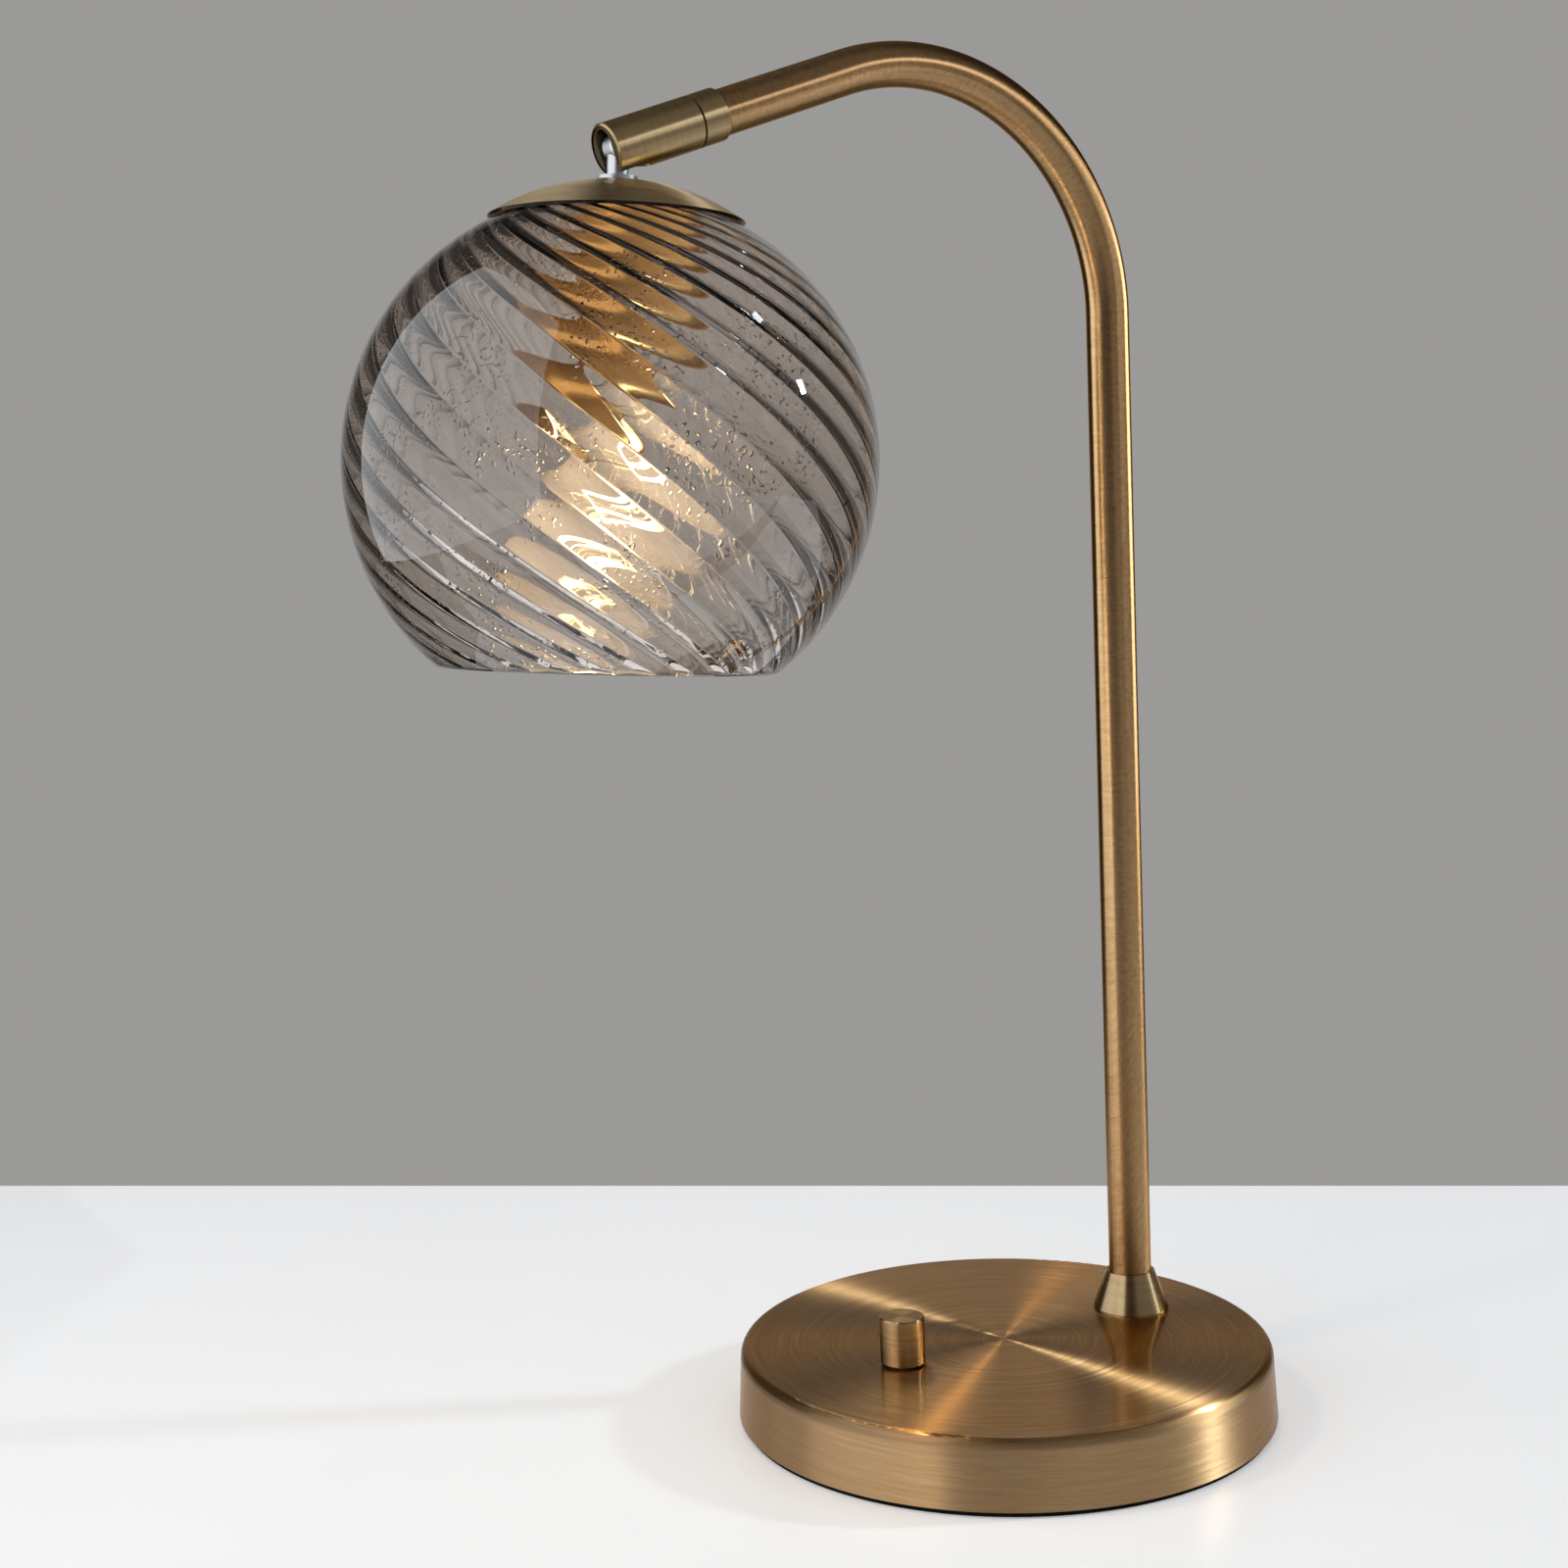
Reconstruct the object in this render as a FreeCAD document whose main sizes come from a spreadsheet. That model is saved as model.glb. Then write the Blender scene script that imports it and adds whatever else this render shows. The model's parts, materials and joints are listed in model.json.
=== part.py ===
import FreeCAD, Part
import math
import os
import re

import Sketcher

os.makedirs("parts", exist_ok=True)
doc = FreeCAD.newDocument("desk_lamp")

# Desk lamp: round weighted base, bent stem, slotted swivel knuckle and a swirl-ribbed glass globe.
# The origin is the middle of the base on the table. +Z is up, the lamp's plane is y = 0,
# the stem stands at +X and the globe hangs at -X.

# Driving sizes, in millimetres and degrees
SIZES = {
    # Fits between pieces
    "fit_gap": 0.3,
    "seat_gap": 0.05,
    "running_gap": 0.05,
    # Base
    "base_diameter": 200,
    "cover_height": 25,
    "cover_wall": 1.5,
    "cover_taper": 1.2,
    "cover_edge_radius": 3,
    "foam_thickness": 2,
    "foam_inset": 1.5,
    "plate_thickness": 1.5,
    "ballast_thickness": 10,
    "ballast_gap": 3,
    "window_radius": 18.5,
    "spacer_inset": 22,
    "spacer_diameter": 9,
    "spacer_count": 3,
    "screw_diameter": 4,
    "screw_grip": 6,
    "block_length": 24,
    "block_width": 14,
    "block_height": 9,
    "block_pitch_share": 0.3,
    # Cord inlet in the back of the cover
    "inlet_bore_diameter": 6.4,
    "inlet_body_diameter": 9,
    "inlet_flange_diameter": 13,
    "inlet_flange_thickness": 1.5,
    # Dimmer and knob
    "knob_inset": 54.5,
    "knob_diameter": 16.5,
    "knob_height": 17,
    "knob_lift": 0.8,
    "knob_edge": 0.4,
    "knob_crown": 3,
    "shaft_diameter": 6,
    "bush_diameter": 7,
    "bush_rise": 2.6,
    "dimmer_length": 26,
    "dimmer_width": 22,
    "dimmer_height": 9,
    "dimmer_floor": 1.5,
    "dimmer_nut_across": 10,
    "dimmer_nut_thickness": 2,
    # Stem and the pieces that clamp its foot
    "stem_inset": 39,
    "tube_diameter": 16,
    "tube_wall": 1.2,
    "stem_length": 378,
    "bend_radius": 87.5,
    "bend_angle": 108,
    "end_run": 60,
    "collar_flare": 6.25,
    "collar_wall": 1.2,
    "collar_height": 15,
    "collar_lip": 1,
    "collar_floor_thickness": 3,
    "nipple_diameter": 10,
    "nipple_bore_diameter": 7,
    "nipple_spare": 1.5,
    "insert_length": 18,
    "stiffener_diameter": 32,
    "stiffener_thickness": 3,
    "lock_washer_diameter": 17,
    "lock_washer_thickness": 1.5,
    "nipple_nut_across": 14,
    "nipple_nut_thickness": 5,
    # Fixed end of the arm and the swivel
    "collar_sleeve": 1.15,
    "collar_overlap": 6,
    "collar_web": 4.4,
    "collar_edge": 0.8,
    "swivel_washer_thickness": 0.8,
    "swivel_washer_inset": 0.7,
    "stud_diameter": 8,
    "stud_bore_diameter": 4.8,
    "stud_spare": 0.6,
    "stud_nut_across": 12,
    "stud_nut_thickness": 4,
    "spring_washer_diameter": 13,
    "spring_washer_thickness": 1,
    # Turning barrel and the clevis inside it
    "barrel_length": 34.4,
    "barrel_wall": 1.1,
    "barrel_web": 5,
    "barrel_edge": 0.6,
    "clevis_length": 20.2,
    "clevis_recess": 0.4,
    "slot_depth": 14.7,
    "cheek_gap": 0.5,
    "head_clearance": 2.5,
    "pin_from_end": 5.2,
    "pin_diameter": 3,
    "friction_washer_diameter": 5.6,
    # Tilting stud and cap
    "shade_tilt": 4,
    "head_radius": 4.6,
    "head_width": 8.4,
    "head_edge_radius": 1.8,
    "head_drop": 3,
    "shank_diameter": 7.4,
    "neck_reach": 10,
    "neck_washer_diameter": 13.6,
    "neck_washer_thickness": 1.2,
    "cap_rim_radius": 43,
    "cap_wall": 1.2,
    "cap_nut_across": 13,
    "cap_nut_thickness": 2.8,
    "cup_nut_thickness": 3,
    "shank_spare": 1,
    # Glass globe
    "globe_radius": 89.5,
    "globe_wall": 2.8,
    "rib_depth": 1.4,
    "rib_count": 27,
    "rib_slant": 1.35,
    "mouth_radius": 57.3,
    "gasket_width": 5.5,
    "gasket_thickness": 2.4,
    "rim_gap": 0.5,
    # Lamp holder
    "cup_diameter": 44,
    "cup_wall": 1,
    "cup_length": 70,
    "cup_edge_radius": 2,
    "ring_width": 6.5,
    "ring_height": 6,
    "core_length": 32,
    "core_floor": 4,
    "core_inset": 0.8,
    "shell_play": 0.6,
    "shell_wall": 0.5,
    "shell_length": 22,
    "contact_diameter": 8,
    "contact_thickness": 0.6,
    # Bulb
    "bulb_base_diameter": 26.2,
    "bulb_base_length": 22.5,
    "bulb_base_wall": 0.6,
    "bulb_tip_diameter": 9,
    "bulb_tip_height": 3,
    "bulb_diameter": 59,
    "bulb_length": 80,
    "bulb_wall": 0.8,
    "bulb_neck_seat": 4,
    "bulb_neck_length": 5,
    "bulb_shoulder_angle": 40,
    "bulb_flare_radius": 60,
    "mount_rod_diameter": 6,
    "mount_length": 62,
    "filament_count": 4,
    "filament_diameter": 1.8,
    "filament_length": 34,
    "filament_circle_radius": 7,
    "filament_slant": 9,
    "filament_wire_diameter": 0.9,
    # Leads inside the lamp
    "stem_lead_diameter": 4,
    "stem_lead_bend": 7.5,
    "dimmer_lead_diameter": 3,
    "dimmer_lead_run_share": 0.35,
    "dimmer_lead_bend_share": 0.6,
    "socket_lead_diameter": 3.6,
    # Overrun of every cut
    "overrun": 5,
}

# Sizes and places worked out from the driving ones
DERIVED = {
    "base_radius": "base_diameter / 2",
    "top_radius": "base_radius - cover_taper",
    "cover_top": "foam_thickness + cover_height",
    "cover_under": "cover_top - cover_wall",
    "plate_top": "foam_thickness + plate_thickness",
    "ballast_top": "plate_top + ballast_thickness",
    "spacer_circle_radius": "base_radius - spacer_inset",
    "screw_radius": "screw_diameter / 2",
    "screw_head_radius": "screw_radius + plate_thickness",
    "inlet_height": "cover_top - cover_edge_radius - inlet_flange_diameter / 2",
    "knob_offset": "base_radius - knob_inset",
    "stem_offset": "base_radius - stem_inset",
    "block_offset": "(stem_offset - knob_offset) / 2",
    "block_face": "block_offset + block_length / 2",
    "knob_foot": "cover_top + knob_lift",
    "knob_top": "knob_foot + knob_height",
    "bush_top": "cover_top + bush_rise",
    "dimmer_foot": "cover_under - dimmer_height",
    "dimmer_nut_radius": "dimmer_nut_across / 2 / cos(30 deg)",
    "tube_radius": "tube_diameter / 2",
    "tube_bore_radius": "tube_radius - tube_wall",
    "collar_floor": "cover_top + collar_floor_thickness",
    "stiffener_under": "cover_under - stiffener_thickness",
    "lock_washer_under": "stiffener_under - lock_washer_thickness",
    "nipple_nut_under": "lock_washer_under - nipple_nut_thickness",
    "nipple_foot": "nipple_nut_under - nipple_spare",
    "nipple_radius": "nipple_diameter / 2",
    "bend_height": "collar_floor + stem_length",
    "lead_height": "nipple_foot - stem_lead_bend",
    # Places along the arm's end, counted from the end of the tube
    "barrel_radius": "tube_radius + collar_sleeve",
    "barrel_bore_radius": "barrel_radius - barrel_wall",
    "barrel_start": "collar_web + swivel_washer_thickness",
    "barrel_end": "barrel_start + barrel_length",
    "web_front": "barrel_start + barrel_web",
    "spring_front": "web_front + spring_washer_thickness",
    "stud_nut_front": "spring_front + stud_nut_thickness",
    "clevis_end": "barrel_end - clevis_recess",
    "slot_width": "head_width + 2 * cheek_gap",
    "slot_lift": "head_radius + head_clearance - slot_width / 2",
    "slot_root": "barrel_end - slot_depth",
    "pin_place": "barrel_end - pin_from_end",
    "stud_radius": "stud_diameter / 2",
    # Heights on the shade's axis, counted from the pivot pin
    "shank_radius": "shank_diameter / 2",
    "dome_top": "-neck_reach - neck_washer_thickness",
    "cup_radius": "cup_diameter / 2",
    "neck_hole_radius": "cup_radius + fit_gap",
    "seat_height": "sqrt(globe_radius ^ 2 - neck_hole_radius ^ 2) + gasket_thickness",
    "rim_seat_height": "sqrt(globe_radius ^ 2 - cap_rim_radius ^ 2) + rim_gap",
    "dome_lift": "(neck_hole_radius ^ 2 + seat_height ^ 2 - cap_rim_radius ^ 2 - rim_seat_height ^ 2)"
                 " / (2 * (seat_height - rim_seat_height))",
    "dome_inner_radius": "sqrt(neck_hole_radius ^ 2 + (seat_height - dome_lift) ^ 2)",
    "dome_radius": "dome_inner_radius + cap_wall",
    "dome_centre": "dome_top - dome_radius",
    "rim_height": "dome_centre + sqrt(dome_radius ^ 2 - cap_rim_radius ^ 2)",
    "cap_nut_top": "dome_centre + sqrt(dome_inner_radius ^ 2 - (cap_nut_across / 2 / cos(30 deg)) ^ 2)",
    "cup_top": "cap_nut_top - cap_nut_thickness",
    "cup_nut_top": "cup_top - cup_wall",
    "shank_foot": "cup_nut_top - cup_nut_thickness - shank_spare",
    "cup_mouth": "cup_top - cup_length",
    "globe_centre": "dome_centre - dome_lift",
    "globe_inner_radius": "globe_radius - globe_wall",
    "core_foot": "cup_mouth + core_inset",
    "core_top": "core_foot + core_length",
    "core_ceiling": "core_top - core_floor",
    "shell_radius": "bulb_base_diameter / 2 + shell_play + shell_wall",
    "contact_foot": "core_ceiling - contact_thickness",
    "bulb_tip_top": "contact_foot",
    "bulb_base_top": "bulb_tip_top - bulb_tip_height",
    "bulb_base_foot": "bulb_base_top - bulb_base_length",
    "bulb_radius": "bulb_diameter / 2",
    "bulb_inner_radius": "bulb_radius - bulb_wall",
    "bulb_neck_radius": "bulb_base_diameter / 2 - bulb_base_wall - seat_gap",
    "bulb_neck_top": "bulb_base_foot + bulb_neck_seat",
    "bulb_foot": "bulb_base_foot - bulb_length",
    "bulb_centre": "bulb_foot + bulb_radius",
    "mount_foot": "bulb_base_foot - mount_length",
}

sheet = doc.addObject("Spreadsheet::Sheet", "sizes")
for row, (alias, size) in enumerate(SIZES.items(), 1):
    sheet.set(f"A{row}", alias)
    sheet.set(f"B{row}", str(size))
    sheet.setAlias(f"B{row}", alias)
doc.recompute()


def bound(formula):
    """Write a formula of size names in terms of the sheet's cells."""
    def swap(found):
        word = found.group(0)
        if word in SIZES:
            return "sizes." + word
        if word in DERIVED:
            return "(" + bound(DERIVED[word]) + ")"
        return word
    return re.sub(r"[a-z][a-z_]+", swap, str(formula))


def number(formula):
    """Work a formula out."""
    result = sheet.evalExpression(bound(formula))
    return float(getattr(result, "Value", result))


def number_of(alias):
    return int(round(number(alias)))


def ball(radius, across):
    """Formula of a ball's height over its centre, at a distance from its axis."""
    return f"sqrt(({radius}) ^ 2 - ({across}) ^ 2)"


# Drawing helpers
def origin_plane(body, role):
    return next(plane for plane in body.Origin.OriginFeatures if plane.Role == role)


def new_sketch(body, plane="XZ_Plane", offset="0"):
    sketch = body.newObject("Sketcher::SketchObject", body.Name + "_sketch")
    sketch.AttachmentSupport = [(origin_plane(body, plane), "")]
    sketch.MapMode = "FlatFace"
    sketch.setExpression("AttachmentOffset.Base.z", bound(offset))
    return sketch


def fix_point(sketch, geometry, position, across, up):
    """Hold a point at two formulas, counted from the sketch's origin."""
    for kind, formula, axis in (("DistanceX", across, -2), ("DistanceY", up, -1)):
        if formula == "0":
            sketch.addConstraint(Sketcher.Constraint("PointOnObject", geometry, position, axis))
        else:
            held = Sketcher.Constraint(kind, -1, 1, geometry, position, number(formula))
            index = sketch.addConstraint(held)
            sketch.setExpression(f"Constraints[{index}]", bound(formula))


def side(start, end, corner):
    """Make a straight or round side, and say which of its points are its start and its end."""
    if len(corner) == 2:
        return Part.LineSegment(start, end), 1, 2
    radius = number(corner[2])
    turn = corner[3]
    chord = end - start
    rise = math.sqrt(max(radius ** 2 - (chord.Length / 2) ** 2, 0))
    normal = FreeCAD.Vector(-chord.y, chord.x, 0).normalize()
    centre = (start + end) * 0.5 + normal * (rise * turn)
    circle = Part.Circle(centre, FreeCAD.Vector(0, 0, 1), radius)
    first = math.atan2(start.y - centre.y, start.x - centre.x)
    last = math.atan2(end.y - centre.y, end.x - centre.x)
    if turn > 0:
        return Part.ArcOfCircle(circle, first, last), 1, 2
    return Part.ArcOfCircle(circle, last, first), 2, 1


def hold_round_side(sketch, geometry, corner, start, end):
    """Hold a round side by its radius, and a half circle by the place of its centre."""
    span = end - start
    if span.Length < 2 * number(corner[2]) - ROUND_SLACK:
        held = Sketcher.Constraint("Radius", geometry, number(corner[2]))
        formula = corner[2]
    elif abs(span.x) < abs(span.y):
        held = Sketcher.Constraint("DistanceX", -1, 1, geometry, 3, start.x)
        formula = corner[0]
    else:
        held = Sketcher.Constraint("DistanceY", -1, 1, geometry, 3, start.y)
        formula = corner[1]
    constraint = sketch.addConstraint(held)
    sketch.setExpression(f"Constraints[{constraint}]", bound(formula))


LEFT = 1
RIGHT = -1
ROUND_SLACK = 1e-6


def draw_outline(sketch, corners):
    """Close a chain of sides through corners given as formulas.

    A corner with a radius and a turn starts a round side, whose centre lies LEFT or RIGHT of the way.
    """
    points = [FreeCAD.Vector(number(corner[0]), number(corner[1]), 0) for corner in corners]
    sides = []
    for place, corner in enumerate(corners):
        end = points[(place + 1) % len(points)]
        geometry, first, last = side(points[place], end, corner)
        sides.append((sketch.addGeometry(geometry, False), first, last))
    for place, (index, first, last) in enumerate(sides):
        after, after_first, _ = sides[(place + 1) % len(sides)]
        sketch.addConstraint(Sketcher.Constraint("Coincident", index, last, after, after_first))
        corner = corners[place]
        fix_point(sketch, index, first, corner[0], corner[1])
        if len(corner) > 2:
            hold_round_side(sketch, index, corner, points[place], points[(place + 1) % len(points)])


def draw_circle(sketch, radius, across="0", up="0"):
    centre = FreeCAD.Vector(number(across), number(up), 0)
    circle = Part.Circle(centre, FreeCAD.Vector(0, 0, 1), number(radius))
    index = sketch.addGeometry(circle, False)
    held = sketch.addConstraint(Sketcher.Constraint("Radius", index, number(radius)))
    sketch.setExpression(f"Constraints[{held}]", bound(radius))
    if across == "0" and up == "0":
        sketch.addConstraint(Sketcher.Constraint("Coincident", index, 3, -1, 1))
    else:
        fix_point(sketch, index, 3, across, up)


def hexagon(across):
    """Corners of a hexagon of a given width across flats."""
    reach = f"{across} / 2 / cos(30 deg)"
    return [(f"{reach} * cos({60 * step} deg)", f"{reach} * sin({60 * step} deg)") for step in range(6)]


def box(low_x, low_y, high_x, high_y):
    return [(low_x, low_y), (high_x, low_y), (high_x, high_y), (low_x, high_y)]


def obround(low_x, high_x, radius):
    """Outline of a slot along X, between the middles of its round ends."""
    return [
        (low_x, f"-({radius})"),
        (high_x, f"-({radius})", radius, LEFT),
        (high_x, radius),
        (low_x, radius, radius, LEFT),
    ]


# Feature helpers
def new_body(name):
    return doc.addObject("PartDesign::Body", name)


def revolve(name, corners, axis="V_Axis", plane="XZ_Plane"):
    body = new_body(name)
    sketch = new_sketch(body, plane)
    draw_outline(sketch, corners)
    feature = body.newObject("PartDesign::Revolution", name + "_turned")
    feature.Profile = sketch
    feature.ReferenceAxis = (sketch, [axis])
    feature.Angle = 360
    return body


def pad(body, sketch, length):
    feature = body.newObject("PartDesign::Pad", body.Name + "_raised")
    feature.Profile = sketch
    feature.setExpression("Length", bound(length))
    return feature


def disc(name, radius, foot, height, bore=None):
    """Round plate or tube from a foot height up."""
    body = new_body(name)
    sketch = new_sketch(body, "XY_Plane", foot)
    draw_circle(sketch, radius)
    if bore:
        draw_circle(sketch, bore)
    pad(body, sketch, height)
    return body


def nut(name, across, foot, height, bore):
    body = new_body(name)
    sketch = new_sketch(body, "XY_Plane", foot)
    draw_outline(sketch, hexagon(across))
    draw_circle(sketch, bore)
    pad(body, sketch, height)
    return body


def pocket(body, sketch, length=None, reverse=False):
    """Cut a sketch through the body, or to a length."""
    feature = body.newObject("PartDesign::Pocket", body.Name + "_cut")
    feature.Profile = sketch
    feature.Reversed = reverse
    if length:
        feature.setExpression("Length", bound(length))
    else:
        feature.Type = "ThroughAll"
        feature.Midplane = True
    return feature


def drill(body, radius, across, up="0", plane="XY_Plane"):
    """Drill right through the body."""
    sketch = new_sketch(body, plane)
    draw_circle(sketch, radius, across, up)
    return pocket(body, sketch)


def spot(step, count, radius):
    """Formulas of a place on a circle, the first one at -X."""
    angle = f"(180 + 360 * {step} / {count}) * 1 deg"
    return f"{radius} * cos({angle})", f"{radius} * sin({angle})"


def set_place(piece, across, deep, up):
    piece.setExpression("Placement.Base.x", bound(across))
    piece.setExpression("Placement.Base.y", bound(deep))
    piece.setExpression("Placement.Base.z", bound(up))


def cut(name, base, tools):
    tool = tools[0]
    if len(tools) > 1:
        tool = doc.addObject("Part::MultiFuse", name + "_tools")
        tool.Shapes = tools
    result = doc.addObject("Part::Cut", name)
    result.Base = base
    result.Tool = tool
    return result


def gather(name, pieces):
    group = doc.addObject("Part::Compound", name)
    group.Links = pieces
    return group


def swept_lead(points, bends, diameter):
    """Round lead along straight runs that are joined by tangent arcs."""
    edges = []
    start = points[0]
    for before, corner, after, bend in zip(points, points[1:], points[2:], bends):
        back = (before - corner).normalize()
        ahead = (after - corner).normalize()
        half = back.getAngle(ahead) / 2
        reach = bend / math.tan(half)
        middle_way = (back + ahead).normalize()
        centre = corner + middle_way * (bend / math.sin(half))
        enter = corner + back * reach
        leave = corner + ahead * reach
        edges.append(Part.LineSegment(start, enter).toShape())
        edges.append(Part.Arc(enter, centre - middle_way * bend, leave).toShape())
        start = leave
    edges.append(Part.LineSegment(start, points[-1]).toShape())
    path = Part.Wire(edges)
    circle = Part.Circle(points[0], points[1] - points[0], diameter / 2)
    return path.makePipeShell([Part.Wire(circle.toShape())], True, True)


PIECES = []


def keep(piece, node, placement=None):
    """Name a finished piece after its node and put it in its place."""
    piece.Label = node
    if placement:
        piece.Placement = placement
    PIECES.append(piece)
    return piece


# Places of the groups of pieces
TILT_AXIS = FreeCAD.Vector(0, 1, 0)
KNOB_PLACE = FreeCAD.Placement(FreeCAD.Vector(-number("knob_offset"), 0, 0), FreeCAD.Rotation())
STEM_PLACE = FreeCAD.Placement(FreeCAD.Vector(number("stem_offset"), 0, 0), FreeCAD.Rotation())


def arm_point(run):
    """Point on the arm's end run, at a distance from the end of the bend."""
    angle = math.radians(number("bend_angle"))
    radius = number("bend_radius")
    across = radius * (1 - math.cos(angle)) + run * math.sin(angle)
    up = radius * math.sin(angle) + run * math.cos(angle)
    return FreeCAD.Vector(number("stem_offset") - across, 0, number("bend_height") + up)


ARM_TURN = FreeCAD.Rotation(TILT_AXIS, 270 - number("bend_angle"))
ARM_PLACE = FreeCAD.Placement(arm_point(number("end_run")), ARM_TURN)
PIN_POINT = arm_point(number("end_run + pin_place"))
SHADE_PLACE = FreeCAD.Placement(PIN_POINT, FreeCAD.Rotation(TILT_AXIS, number("shade_tilt")))


# Base
def foam_pad():
    keep(disc("foam", "base_radius - foam_inset", "0", "foam_thickness"), "foam_pad")


def base_plate():
    blank = disc("plate_blank", "base_radius - cover_wall - fit_gap", "foam_thickness", "plate_thickness")
    cones = []
    for step in range(number_of("spacer_count")):
        cone = doc.addObject("Part::Cone", "countersink")
        cone.setExpression("Radius1", bound("screw_head_radius + seat_gap"))
        cone.setExpression("Radius2", bound("screw_radius + seat_gap"))
        cone.setExpression("Height", bound("plate_thickness"))
        set_place(cone, *spot(step, "spacer_count", "spacer_circle_radius"), "foam_thickness")
        cones.append(cone)
    keep(cut("plate", blank, cones), "base_plate")


def plate_screws():
    screws = []
    for step in range(number_of("spacer_count")):
        screw = revolve(f"plate_screw_{step + 1}", [
            ("0", "foam_thickness"),
            ("screw_head_radius", "foam_thickness"),
            ("screw_radius", "plate_top"),
            ("screw_radius", "ballast_top + screw_grip"),
            ("0", "ballast_top + screw_grip"),
        ])
        set_place(screw, *spot(step, "spacer_count", "spacer_circle_radius"), "0")
        screws.append(screw)
    keep(gather("screws", screws), "plate_screws")


def ballast_spacers():
    spacers = []
    for step in range(number_of("spacer_count")):
        spacer = revolve(f"spacer_{step + 1}", [
            ("screw_radius + seat_gap", "ballast_top"),
            ("spacer_diameter / 2", "ballast_top"),
            ("spacer_diameter / 2", "cover_under"),
            ("0", "cover_under"),
            ("0", "ballast_top + screw_grip + fit_gap"),
            ("screw_radius + seat_gap", "ballast_top + screw_grip + fit_gap"),
        ])
        set_place(spacer, *spot(step, "spacer_count", "spacer_circle_radius"), "0")
        spacers.append(spacer)
    keep(gather("spacers", spacers), "ballast_spacers")


def ballast_weight():
    body = disc("ballast", "top_radius - cover_wall - ballast_gap", "plate_top", "ballast_thickness")
    window = new_sketch(body, "XY_Plane")
    draw_outline(window, obround("-knob_offset", "stem_offset", "window_radius"))
    pocket(body, window)
    for step in range(number_of("spacer_count")):
        across, deep = spot(step, "spacer_count", "spacer_circle_radius")
        drill(body, "screw_radius + seat_gap", across, deep)
    keep(body, "ballast_weight")


def base_cover():
    edge = "cover_edge_radius"
    inner_edge = "cover_edge_radius - cover_wall"
    body = revolve("cover", [
        ("base_radius", "foam_thickness"),
        ("top_radius", f"cover_top - {edge}", edge, LEFT),
        (f"top_radius - {edge}", "cover_top"),
        ("0", "cover_top"),
        ("0", "cover_under"),
        (f"top_radius - {edge}", "cover_under", inner_edge, RIGHT),
        ("top_radius - cover_wall", f"cover_top - {edge}"),
        ("base_radius - cover_wall", "foam_thickness"),
    ])
    drill(body, "nipple_radius + seat_gap", "stem_offset")
    drill(body, "bush_diameter / 2 + seat_gap", "-knob_offset")
    inlet = new_sketch(body, "YZ_Plane", "base_radius - cover_wall - cover_taper - overrun")
    draw_circle(inlet, "inlet_body_diameter / 2 + seat_gap", "0", "inlet_height")
    pocket(body, inlet, "2 * overrun + cover_wall", reverse=True)
    keep(body, "base_cover")


def cord_bush():
    body_radius = "inlet_body_diameter / 2"
    flange_radius = "inlet_flange_diameter / 2"
    inner_face = "top_radius - cover_wall - fit_gap"
    body = revolve("bush", [
        (f"{inner_face} - inlet_flange_thickness", "inlet_bore_diameter / 2"),
        ("base_radius + inlet_flange_thickness", "inlet_bore_diameter / 2"),
        ("base_radius + inlet_flange_thickness", f"{flange_radius} - inlet_flange_thickness / 2"),
        ("base_radius + inlet_flange_thickness / 2", flange_radius),
        ("base_radius", flange_radius),
        ("base_radius", body_radius),
        (inner_face, body_radius),
        (inner_face, f"{body_radius} + inlet_flange_thickness"),
        (f"{inner_face} - inlet_flange_thickness", f"{body_radius} + inlet_flange_thickness / 2"),
    ], axis="H_Axis")
    height = FreeCAD.Vector(0, 0, number("inlet_height"))
    keep(body, "cord_bush", FreeCAD.Placement(height, FreeCAD.Rotation()))


def terminal_block():
    body = new_body("block")
    sketch = new_sketch(body, "XY_Plane", "plate_top")
    half_width = "block_width / 2"
    draw_outline(sketch, box("block_offset - block_length / 2", f"-{half_width}", "block_face", half_width))
    pad(body, sketch, "block_height")
    for step in (-1, 0, 1):
        screw_hole = new_sketch(body, "XY_Plane", "plate_top + block_height")
        draw_circle(screw_hole, "screw_radius", f"block_offset + {step} * block_length * block_pitch_share")
        pocket(body, screw_hole, "block_height / 2")
    keep(body, "terminal_block")


# Dimmer and knob
def dimmer_body():
    body = new_body("dimmer")
    case = new_sketch(body, "XY_Plane", "dimmer_foot")
    half_length = "dimmer_length / 2"
    half_width = "dimmer_width / 2"
    draw_outline(case, box(f"-{half_length}", f"-{half_width}", half_length, half_width))
    pad(body, case, "dimmer_height")
    bush = new_sketch(body, "XY_Plane", "cover_under")
    draw_circle(bush, "bush_diameter / 2")
    pad(body, bush, "bush_top - cover_under")
    bore = new_sketch(body, "XY_Plane", "bush_top")
    draw_circle(bore, "shaft_diameter / 2 + running_gap")
    pocket(body, bore, "bush_top - dimmer_foot - dimmer_floor")
    keep(body, "dimmer_body", KNOB_PLACE)


def dimmer_nut():
    height = "dimmer_nut_thickness"
    bore = "bush_diameter / 2 + seat_gap"
    keep(nut("bush_nut", "dimmer_nut_across", "cover_top", height, bore), "dimmer_nut", KNOB_PLACE)


def dimmer_shaft():
    foot = "dimmer_foot + dimmer_floor + fit_gap"
    shaft = disc("shaft", "shaft_diameter / 2", foot, f"knob_top - knob_crown - ({foot})")
    keep(shaft, "dimmer_shaft", KNOB_PLACE)


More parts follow.
